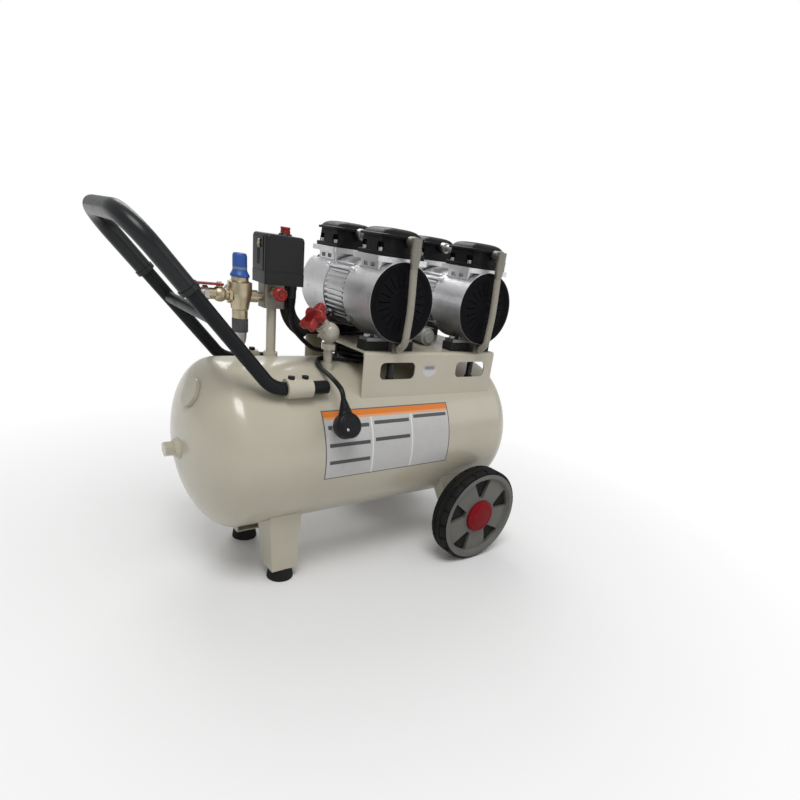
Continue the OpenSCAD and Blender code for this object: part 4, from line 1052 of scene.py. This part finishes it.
def make_manifold():
    """Cast block under the switch, on a painted pipe from the tank."""
    skin = dressed("manifold", 0.0007)
    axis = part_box("manifold")[0].y + extent("manifold").y / 2
    block_low = COVER_LOW.z - MANIFOLD_DROP
    pipe_x = middle("manifold").x

    def in_pipe(spot):
        away = math.hypot(spot.x - pipe_x, spot.y - axis)
        return spot.z < block_low + 0.00805 and away < PIPE_R + 0.000015

    pipe = parted(skin, "standpipe", in_pipe)
    fitted(skin, "zinc", instead=["manifold"])
    fitted(pipe, "zinc", finish=FINISHES["cream_paint"])


def make_relief():
    """Safety valve on the manifold, with a red pull knob."""
    eased_nodes(("relief_valve", 0.0004))
    centre = middle("relief_knob")
    radius = extent("relief_knob").x / 2
    front = extent("relief_knob").y
    stem = 0.00245
    body = front - 0.0125
    profile = [(0, 0), (stem, 0), (stem, body), (radius - 0.0022, body), (radius - 0.0006, body + 0.0018),
               (radius, body + 0.0034), (radius, front - 0.0034), (radius - 0.0008, front - 0.0018),
               (radius - 0.0026, front - 0.0004), (radius - 0.0036, front - 0.0006),
               (radius - 0.0042, front - 0.0022), (0.003, front - 0.0026), (0.0026, front - 0.0012),
               (0, front - 0.001)]
    place = centre + Vector((0, front / 2, 0))
    turned_node("relief_knob", profile, place, (0, -1, 0), "relief_knob", steps=60)


# ---- regulator, gauge and outlet

REG = middle("regulator_knob")
RIBS = 22
DIAL_STEPS = 10


def fluted(radius, depth, ribs):
    """A round outline with shallow flutes."""
    wave = [(a, radius - depth * (0.5 - 0.5 * math.cos(ribs * a))) for a in circle(6 * ribs)]
    return [(r * math.cos(a), r * math.sin(a)) for a, r in wave]


def make_regulator_knob():
    """Blue adjusting knob: a flared foot, a paler band, a fluted grip and a dished cap."""
    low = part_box("regulator_knob")[0].z + 0.0084
    stem = rod("stem", (REG.x, REG.y, low - 0.0084), (REG.x, REG.y, low + 0.002), 0.004, 32)
    flare = mm([(0, 0), (13.6, 0), (14, 0.4), (14, 2.2), (13.2, 3.8), (11.8, 6.2), (10.6, 8.8), (10.2, 10),
                (0, 10)])
    foot = turned("foot", flare, (REG.x, REG.y, low))
    grip = lofted("grip", fluted(0.0105, 0.0004, RIBS), [(0.015, 0.985), (0.0164, 0.96), (0.0174, 0.9)],
                  (REG.x, REG.y, low + 0.0135))
    dish = mm([(0, 0), (9.2, 0), (9.2, 1), (8.6, 1.8), (7.4, 2.1), (6.8, 1.4), (0, 1.2)])
    cap = turned("cap", dish, (REG.x, REG.y, low + 0.0306), steps=56)
    grip = joined("regulator_grip", [foot, stem, grip, cap])
    fitted(grip, "knob_blue", "regulator_knob", ["regulator_knob"])
    hoop = mm([(0, 0), (10.1, 0), (10.4, 0.5), (10.4, 3.5), (10.1, 4), (0, 4)])
    band = turned("regulator_band", hoop, (REG.x, REG.y, low + 0.0098))
    fitted(band, "knob_blue", "regulator_knob", finish=FINISHES["band_blue"])


def make_bowl():
    """Filter bowl: a dark ribbed collar, and a plated cup that narrows to its drain."""
    low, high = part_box("filter_bowl")
    radius = (high.x - low.x) / 2
    centre = (low + high) / 2
    collar_h = 0.02
    collar = lofted("collar", fluted(radius - 0.0004, 0.0007, 18), [(0.0008, 1.03), (collar_h - 0.001, 1.03),
                                                                    (collar_h, 0.99)],
                    (centre.x, centre.y, high.z - collar_h))
    fitted(collar, "bowl", instead=["filter_bowl"], finish=FINISHES["bowl_collar"])
    tall = high.z - low.z - collar_h
    cup = [(0, 0), (0.0022, 0), (0.0024, 0.0005), (0.0024, 0.003), (0.0016, 0.0034), (0.0016, 0.005),
           (0.0034, 0.0058), (0.0052, 0.008), (0.0072, 0.0118), (0.0088, 0.0165), (0.0097, 0.022),
           (0.01, 0.027), (0.0104, tall - 0.0012), (0.01, tall), (0, tall)]
    fitted(turned("bowl_cup", cup, (centre.x, centre.y, low.z), steps=64), "bowl")


def dial_spot(share, radius, centre):
    """A place on the dial, from the zero at its lower left to full scale at its lower right."""
    angle = math.radians(225 - 270 * share)
    return centre + Vector((-math.cos(angle) * radius, 0, math.sin(angle) * radius))


def make_gauge():
    """Pressure gauge on the regulator's rear: case, white dial with plain numbers, needle and lens."""
    low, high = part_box("gauge_case")
    radius = (high.x - low.x) / 2
    floor = high.y - 0.003
    centre = Vector(((low.x + high.x) / 2, floor, (low.z + high.z) / 2))
    fitted(dressed("gauge_case", 0.0005), "steel", instead=["gauge_case"])
    face = turned("gauge_face", washer(0.001, radius - 0.0017, 0.00018), centre, (0, 1, 0))
    fitted(face, "steel", finish=FINISHES["dial_white"])
    marks = []
    for i in range(DIAL_STEPS + 1):
        share = i / DIAL_STEPS
        inner, outer = dial_spot(share, 0.0094, centre), dial_spot(share, 0.0112, centre)
        lift = Vector((0, 0.00026, 0))
        marks.append(rod("tick", inner + lift, outer + lift, 0.0002 if i % 2 else 0.0003, sides=6))
        if i % 2 == 0:
            marks.append(number(str(i), dial_spot(share, 0.0072, centre) + Vector((0, 0.00016, 0)), 0.0034))
    fitted(joined("gauge_marks", marks), "steel", finish=FINISHES["dial_black"])
    window = [(0, 0), (radius - 0.00165, 0), (radius - 0.00165, 0.0006), (0.006, 0.001), (0, 0.0011)]
    lens = turned("gauge_lens", window, (centre.x, high.y - 0.0012, centre.z), (0, 1, 0))
    clear = Finish("lens", transmission_weight=1.0, roughness=0.03, ior=1.49)
    clear.set(base_color=clear.mix(clear.noise(30, 3), (0.93, 0.95, 0.95), (0.97, 0.98, 0.98)))
    fitted(lens, "steel", finish=clear.material)
    fitted(dressed("gauge_needle", 0), "knob_red", "gauge_needle", ["gauge_needle"])


def number(text, place, size):
    """A plain number, standing on the dial's face and read from the rear."""
    shape = bpy.data.curves.new("number", "FONT")
    shape.body = text
    shape.size = size
    shape.extrude = 0.00006
    shape.align_x = "CENTER"
    shape.align_y = "CENTER"
    shape.resolution_u = 3
    piece = as_mesh("number", shape)
    piece.matrix_world = Matrix.Translation(place) @ Matrix(((-1, 0, 0), (0, 0, 1), (0, 1, 0))).to_4x4()
    return faced(settle(piece))


def make_outlet():
    """Ball valve, its red lever with a plated nut, and the hose coupler with a knurled sleeve."""
    eased_nodes(("regulator_body", 0.0008), ("outlet_valve", 0.0005), ("coupler", 0.0004))
    lever = dressed("outlet_lever", 0.0007)
    plate_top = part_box("outlet_lever")[1].z - 0.0024
    nut = parted(lever, "lever_nut", lambda spot: spot.z > plate_top)
    fitted(lever, "knob_red", "outlet_lever", ["outlet_lever"])
    fitted(nut, "steel", "outlet_lever")
    low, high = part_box("coupler_sleeve")
    radius = (high.z - low.z) / 2
    bore = radius - 0.00235
    long = high.x - low.x
    grooves = []
    for i in range(4):
        x = 0.0034 + i * 0.0018
        grooves += [(radius, x), (radius - 0.0005, x + 0.0004),
                    (radius - 0.0005, x + 0.0009), (radius, x + 0.0013)]
    profile = [(bore, 0), (radius - 0.0012, 0), (radius - 0.0004, 0.0008), (radius, 0.0018)] + grooves
    profile += [(radius, long - 0.001), (radius - 0.0009, long), (bore, long), (bore, 0)]
    place = (low.x, (low.y + high.y) / 2, (low.z + high.z) / 2)
    turned_node("coupler_sleeve", profile, place, (1, 0, 0), "coupler_sleeve", steps=56)


# ---- bleed valve

BLEED_LEAN = math.radians(37.5)
BLEED_AXIS = Vector((-math.cos(BLEED_LEAN), 0, math.sin(BLEED_LEAN)))
BLEED = Vector((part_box("bleed_valve")[1].x - 0.016, middle("bleed_valve").y, TANK.z + TANK_R + 0.049))
LOBES = 5


def make_bleed_valve():
    eased_nodes(("bleed_valve", 0.0007))


def make_bleed_wheel():
    """Five-lobed red handwheel on its spindle, with a darker disc let into its face."""
    radii = [(a, 0.94 * (0.0205 + 0.0052 * math.cos(LOBES * a))) for a in circle(100)]
    star = [(r * math.cos(a), r * math.sin(a)) for a, r in radii]
    levels = [(0.0008, 1.04), (0.0022, 1.07), (0.0098, 1.07), (0.0112, 1.04), (0.012, 0.98)]
    base = BLEED + BLEED_AXIS * 0.03
    wheel = lofted("star_wheel", star, levels, base, BLEED_AXIS)
    face = BLEED + BLEED_AXIS * 0.042
    cut(wheel, rod("recess", face - BLEED_AXIS * 0.0016, face + BLEED_AXIS * 0.004, 0.0132, 48))
    eased(wheel, 0.0003)
    spindle = rod("spindle", BLEED + BLEED_AXIS * 0.006, base + BLEED_AXIS * 0.002, 0.0035, 32)
    boss = mm([(0, -3.5), (7.2, -3.5), (8.8, 0.2), (0, 0.2)])
    hub = turned("hub", boss, base, BLEED_AXIS, steps=48)
    fitted(joined("bleed_star", [wheel, spindle, hub]), "knob_red", "bleed_wheel", ["bleed_wheel"])
    button = mm([(0, -1.8), (13, -1.8), (13, -0.6), (12, 0), (7, 0.4), (0, 0.5)])
    disc = turned("star_disc", button, face, BLEED_AXIS, steps=56)
    fitted(disc, "knob_red", "bleed_wheel", finish=FINISHES["maroon_disc"])


# ---- leads, mains cord and plug

CORD_R = 0.0038
LEAD_R = 0.0035

# Routes and places in millimetres, measured from the tank's middle
CORD_IN = [(-128, 14, 425), (-127.5, 14, 415), (-124.5, 14, 405.5), (-119, 15, 397), (-111, 16.5, 389),
           (-101.5, 19, 381), (-91, 22.5, 373.5), (-79, 27.5, 367), (-65, 33.5, 363), (-51, 38.5, 361.3),
           (-36, 42, 361), (-20, 43.8, 361), (-2, 43.8, 361)]
CORD_OUT = [(-21, -38.5, 361), (-34, -32, 361), (-48, -25, 361), (-62, -18, 361), (-75, -15, 361),
            (-88, -18, 360.5), (-99, -26, 359.5), (-105, -38, 357), (-106, -48, 354), (-107, -60, 351.5),
            (-108, -74, 350), (-109.5, -87, 349), (-111, -99, 347.5), (-112, -110, 345.5),
            (-112, -118, 343), (-112, -126, 339.5), (-112, -132.2, 333.8), (-112, -135.8, 325.7)]
LEADS = {
    "a": [(-128, 30, 447.9), (-128, 30, 434), (-126, 27, 422.5), (-119.5, 24.5, 412), (-109.5, 22.5, 404),
          (-97, 21, 401.5), (-85.5, 20.5, 404.5), (-74.5, 20, 412.5), (-64.6, 20, 422.2),
          (-56, 20, 428.2)],
    "b": [(-128, 46, 447.9), (-128, 46, 434), (-126.5, 44, 421), (-120.5, 42, 409.5), (-110.5, 40.5, 400),
          (-98, 39.5, 394), (-82, 39, 392), (-62, 38.5, 392), (-38, 38, 392), (-14, 38, 392),
          (10, 38, 392), (34, 38, 392), (58, 38, 392), (82, 37, 392), (104, 33, 392), (118, 27, 393.5),
          (126.5, 23, 397), (133, 21, 402), (140.3, 20, 411.8)]}
# route of the black lead sleeve, which is partly painted shade for the leads' shadow
SLEEVE_AND_SHADE = [(-128, 30, 445.5), (-128, 29.5, 436), (-126.8, 28, 425.5), (-123, 26.8, 415.5),
          (-116.5, 26, 407), (-107.5, 25.8, 399.5), (-98.5, 26.2, 393.5)]
COIL_MIDDLE = Vector((-2, 0, 368.7))
LANES = [(43.8, -1), (36.3, -1), (36.3, 0), (36.3, 1), (43.8, 1), (43.8, 0), (43.8, -1)]
LANE_H = 7.6
LANE_TURN = 45
LANE_EASE = 25
COIL_TURNS = 5 + 206.3 / 360
COIL_STEP = 15
PLUG_AT = (-112, -151.9, 289.6)
PLUG_LEAN = 24


def at_home(points):
    """Places in metres, in the CAD model's frame."""
    return [Vector((TANK.x, 0, 0)) + Vector(point) * MM for point in points]


def coil_point(turned_by):
    """Where the cord lies after turning so many degrees round the coil, as it climbs from lane to lane."""
    done_lanes = (turned_by - LANE_TURN + LANE_EASE) / 360
    lane = min(max(math.floor(done_lanes), -1), len(LANES) - 2)
    share = min(max((done_lanes - lane) * 360 / (2 * LANE_EASE), 0), 1) if lane >= 0 else 0
    share = share * share * (3 - 2 * share)
    before, after = LANES[max(lane, 0)], LANES[lane + 1]
    radius = before[0] + (after[0] - before[0]) * share
    level = before[1] + (after[1] - before[1]) * share
    angle = math.radians(90 - turned_by)
    return COIL_MIDDLE + Vector((radius * math.cos(angle), radius * math.sin(angle), level * LANE_H))


def make_mains_cord():
    """One cord from the switch's gland, through its coil under the saddle, to the plug."""
    steps = round(COIL_TURNS * 360 / COIL_STEP)
    coil = [coil_point(COIL_TURNS * 360 * i / steps) for i in range(1, steps)]
    route = smoothed(at_home(CORD_IN), 3)[:-1] + at_home(coil) + smoothed(at_home(CORD_OUT), 3)
    cord = swept("mains_flex", route, CORD_R, sides=16)
    fitted(cord, "cord_black", instead=["mains_cord", "cord_coil"])
    pieces = [make_strain_relief(route[0]), make_tie()] + make_plug()


def make_strain_relief(start):
    """Ribbed rubber sleeve that tapers from the gland to the cord."""
    profile = [(0, -0.0005)]
    for i in range(7):
        z = 0.003 * i
        r = 0.0046 + 0.0022 * i / 7
        profile += [(r, z), (r + 0.0003, z + 0.0006), (r + 0.0004, z + 0.0018), (r - 0.0004, z + 0.0022)]
    profile += [(0.0068, 0.0218), (0.0068, 0.023), (0, 0.023)]
    piece = turned("mains_strain_relief", profile, start, steps=40)
    return fitted(piece, "cord_black")


def make_tie():
    """Strap round the coil."""
    spot, = at_home([COIL_MIDDLE + Vector((-40.05, -4, 0))])
    strap = plate("coil_tie", rounded(0.0178, 0.0252, 0.005, 6), 0.008, spot, (0, 1, 0))
    inner = plate("inner", rounded(0.0158, 0.0232, 0.004, 6), 0.012, spot - Vector((0, 0.002, 0)), (0, 1, 0))
    cut(strap, inner)
    eased(strap, 0.0002)
    return fitted(strap, "cord_black", finish=FINISHES["black_rubber"])


def make_plug():
    """Right-angle plug: a round body, a tapered and ribbed neck, and two plated pins."""
    turn = Matrix.Rotation(math.radians(-PLUG_LEAN), 4, "X")
    stand = Matrix.Translation(at_home([PLUG_AT])[0]) @ turn
    rim = mm([(0, 0), (13.5, 0), (14.2, 0.6), (15, 0.3), (16.8, 0.6), (18.6, 2), (19.5, 4.2), (19.5, 9),
              (19.2, 9.3), (19.2, 10), (19.5, 10.3), (19.5, 20.5), (18.6, 22.8), (16.8, 24), (0, 24)])
    body = turned("plug_body", rim, (0, -0.012, 0), (0, 1, 0), steps=72)
    ellipse = [(0.0165 * math.cos(a), 0.0112 * math.sin(a)) for a in circle(40)]
    levels = [(0.006, 1.0), (0.012, 0.87, 0.93), (0.018, 0.7, 0.8), (0.023, 0.56, 0.7)]
    for i in range(5):
        h = 0.0245 + i * 0.0029
        share = 0.53 - 0.052 * i
        wide, narrow = (share, share * 1.42), (share - 0.045, share * 1.42 - 0.06)
        levels += [(h, *wide), (h + 0.0012, *wide), (h + 0.0016, *narrow), (h + 0.0025, *narrow)]
    neck = lofted("plug_neck", ellipse, levels + [(0.0395, 0.275, 0.405)], (0, 0, 0))
    head = mm([(0, 0), (2.2, 0), (2.2, 0.5), (1.2, 0.9), (0, 0.6)])
    screw = turned("plug_screw", head, (-0.0066, -0.0118, -0.0064), (0, -1, 0), steps=24)
    pin = mm([(0, 0), (2.4, 0), (2.4, 18), (2.1, 19.2), (1.2, 19.9), (0, 20)])
    pins = [turned("plug_pin", pin, (x, 0.011, 0), (0, 1, 0), steps=28) for x in (-0.0095, 0.0095)]
    plug = joined("mains_plug", [body, neck])
    metal = joined("plug_metal", pins + [screw])
    for piece in (plug, metal):
        piece.matrix_world = stand
        settle(piece)
        eased(piece, 0)
    fitted(plug, "cord_black", instead=["plug"])
    fitted(metal, "steel")
    return [plug, metal]


def make_leads():
    """The two motors' leads, and the black sleeve that gathers them with the mains cord under the switch,
    made wide enough to stand in as painted shade for the shadow beside them.
    """
    for name, points in LEADS.items():
        lead = swept("motor_lead_" + name, smoothed(at_home(points), 4), LEAD_R, sides=16)
        fitted(lead, "cord_black", instead=["motor_leads"])
    line = smoothed(at_home(SLEEVE_AND_SHADE), 6)
    folds = [0.86 + 0.14 * math.sin(math.pi * min(1, 6 * i / len(line)) / 2) + 0.02 * (i % 2)
             for i in range(len(line))]
    # the sleeve is partly painted shade: its wide black body covers the leads and their shadow
    sleeve = swept("lead_sleeve", line, 0.0118, sides=32, tapers=folds)
    fitted(sleeve, "cord_black", finish=FINISHES["black_rubber"])


# ---- camera, light and floor


CAMERA_FROM_TANK = Vector((-0.5392, -0.828, 0.3266))
CAMERA_YAW = math.radians(42.8)
CAMERA_PITCH = math.radians(23.8)
CAMERA_ROLL = math.radians(-8.8)
CAMERA_LENS = 24.63
CAMERA_SHIFT = (-0.0437, 0.1169)
FLOOR_TONE = 0.74
SKY_LIGHT = 0.52
LAMPS = [("key lamp", (-0.8, -1.2, 2.9), (1.4, 1.2), 52),
         ("fill lamp", (1.9, -1.7, 1.3), (1.6, 1.2), 7),
         ("back lamp", (0.6, 2.0, 2.2), (1.6, 1.0), 22)]


def make_camera():
    """A camera a little above the handle's end, as someone stands who looks along the machine."""
    yaw, pitch, roll = CAMERA_YAW, CAMERA_PITCH, CAMERA_ROLL
    ahead = Vector((math.sin(yaw) * math.cos(pitch), math.cos(yaw) * math.cos(pitch), -math.sin(pitch)))
    level = Vector((math.cos(yaw), -math.sin(yaw), 0))
    down = ahead.cross(level)
    right = level * math.cos(roll) + down * math.sin(roll)
    up = level * math.sin(roll) - down * math.cos(roll)
    lens = bpy.data.cameras.new("camera")
    lens.lens = CAMERA_LENS
    lens.shift_x, lens.shift_y = CAMERA_SHIFT
    camera = linked("camera", lens)
    turn = Matrix((right, up, -ahead)).transposed().to_4x4()
    camera.matrix_world = Matrix.Translation(TANK + CAMERA_FROM_TANK) @ turn
    bpy.context.scene.camera = camera


def soft_lamp(name, place, size, watts):
    """A rectangular lamp that faces the tank."""
    shape = bpy.data.lights.new(name, "AREA")
    shape.shape = "RECTANGLE"
    shape.size, shape.size_y = size
    shape.energy = watts
    lamp = linked(name, shape)
    lamp.location = place
    lamp.rotation_euler = (TANK - Vector(place)).to_track_quat("-Z", "Y").to_euler()


def seen_directly(finish):
    """1 for the rays that show the floor and the sky themselves."""
    ray = finish.node("LightPath", {}, {}, "Is Camera Ray")
    outputs = ray.socket.node.outputs
    glossy = Value(finish, outputs["Is Glossy Ray"])
    through = Value(finish, outputs["Is Transmission Ray"])
    return ray.maths("MAXIMUM", glossy).maths("MAXIMUM", through)


def make_floor():
    floor = fresh("floor", bpy.ops.mesh.primitive_circle_add, vertices=96, radius=30, fill_type="NGON",
                  location=(0, 0, -0.0002))
    f = Finish("studio floor", base_color=(FLOOR_TONE,) * 3, roughness=0.9)
    distance = f.node("VectorMath", {"operation": "LENGTH"}, {0: f.place}, "Value")
    glow = f.node("Emission", {}, {"Color": (1, 1, 1), "Strength": 1.0})
    share = distance.fades(0.32, 0.95) * seen_directly(f)
    mixed = f.node("MixShader", {}, {0: share, 1: Value(f, f.shader.outputs[0]), 2: glow})
    f.tree.links.new(mixed.socket, f.tree.nodes["Material Output"].inputs["Surface"])
    floor.data.materials.append(f.material)


def make_sky():
    """An even pale sky: white where it is seen, softer where it lights."""
    world = bpy.data.worlds.new("studio")
    bpy.context.scene.world = world
    world.use_nodes = True
    tree = world.node_tree
    light = tree.nodes["Background"]
    light.inputs["Color"].default_value = (1, 1, 1, 1)
    path = tree.nodes.new("ShaderNodeLightPath")
    seen = tree.nodes.new("ShaderNodeMapRange")
    seen.inputs["To Min"].default_value = SKY_LIGHT
    seen.inputs["To Max"].default_value = 1.0
    tree.links.new(path.outputs["Is Camera Ray"], seen.inputs["Value"])
    tree.links.new(seen.outputs["Result"], light.inputs["Strength"])


def make_studio():
    make_sky()
    make_floor()
    for lamp in LAMPS:
        soft_lamp(*lamp)
    bpy.context.scene.view_settings.view_transform = "Standard"


# ---- the whole machine


def finish_cad_nodes():
    """Gives each CAD node that still shows the finish of its slot."""
    for name, node in frame["nodes"].items():
        node.data.materials.clear()
        node.data.materials.append(FINISHES[SLOT_OF[name]])


make_camera()
make_studio()
finish_cad_nodes()
make_mains_cord()
make_tank()
make_saddle()
make_brackets()
make_sockets()
make_label()
make_sticker()
make_fittings()
make_screws()
make_wheels()
make_handle_plugs()
make_castings()
make_tie_rods()
make_heads()
make_fan_covers()
make_capacitors()
make_hoses()
make_check_valves()
make_switch()
make_manifold()
make_relief()
make_regulator_knob()
make_bowl()
make_gauge()
make_outlet()
make_bleed_valve()
make_bleed_wheel()
make_leads()
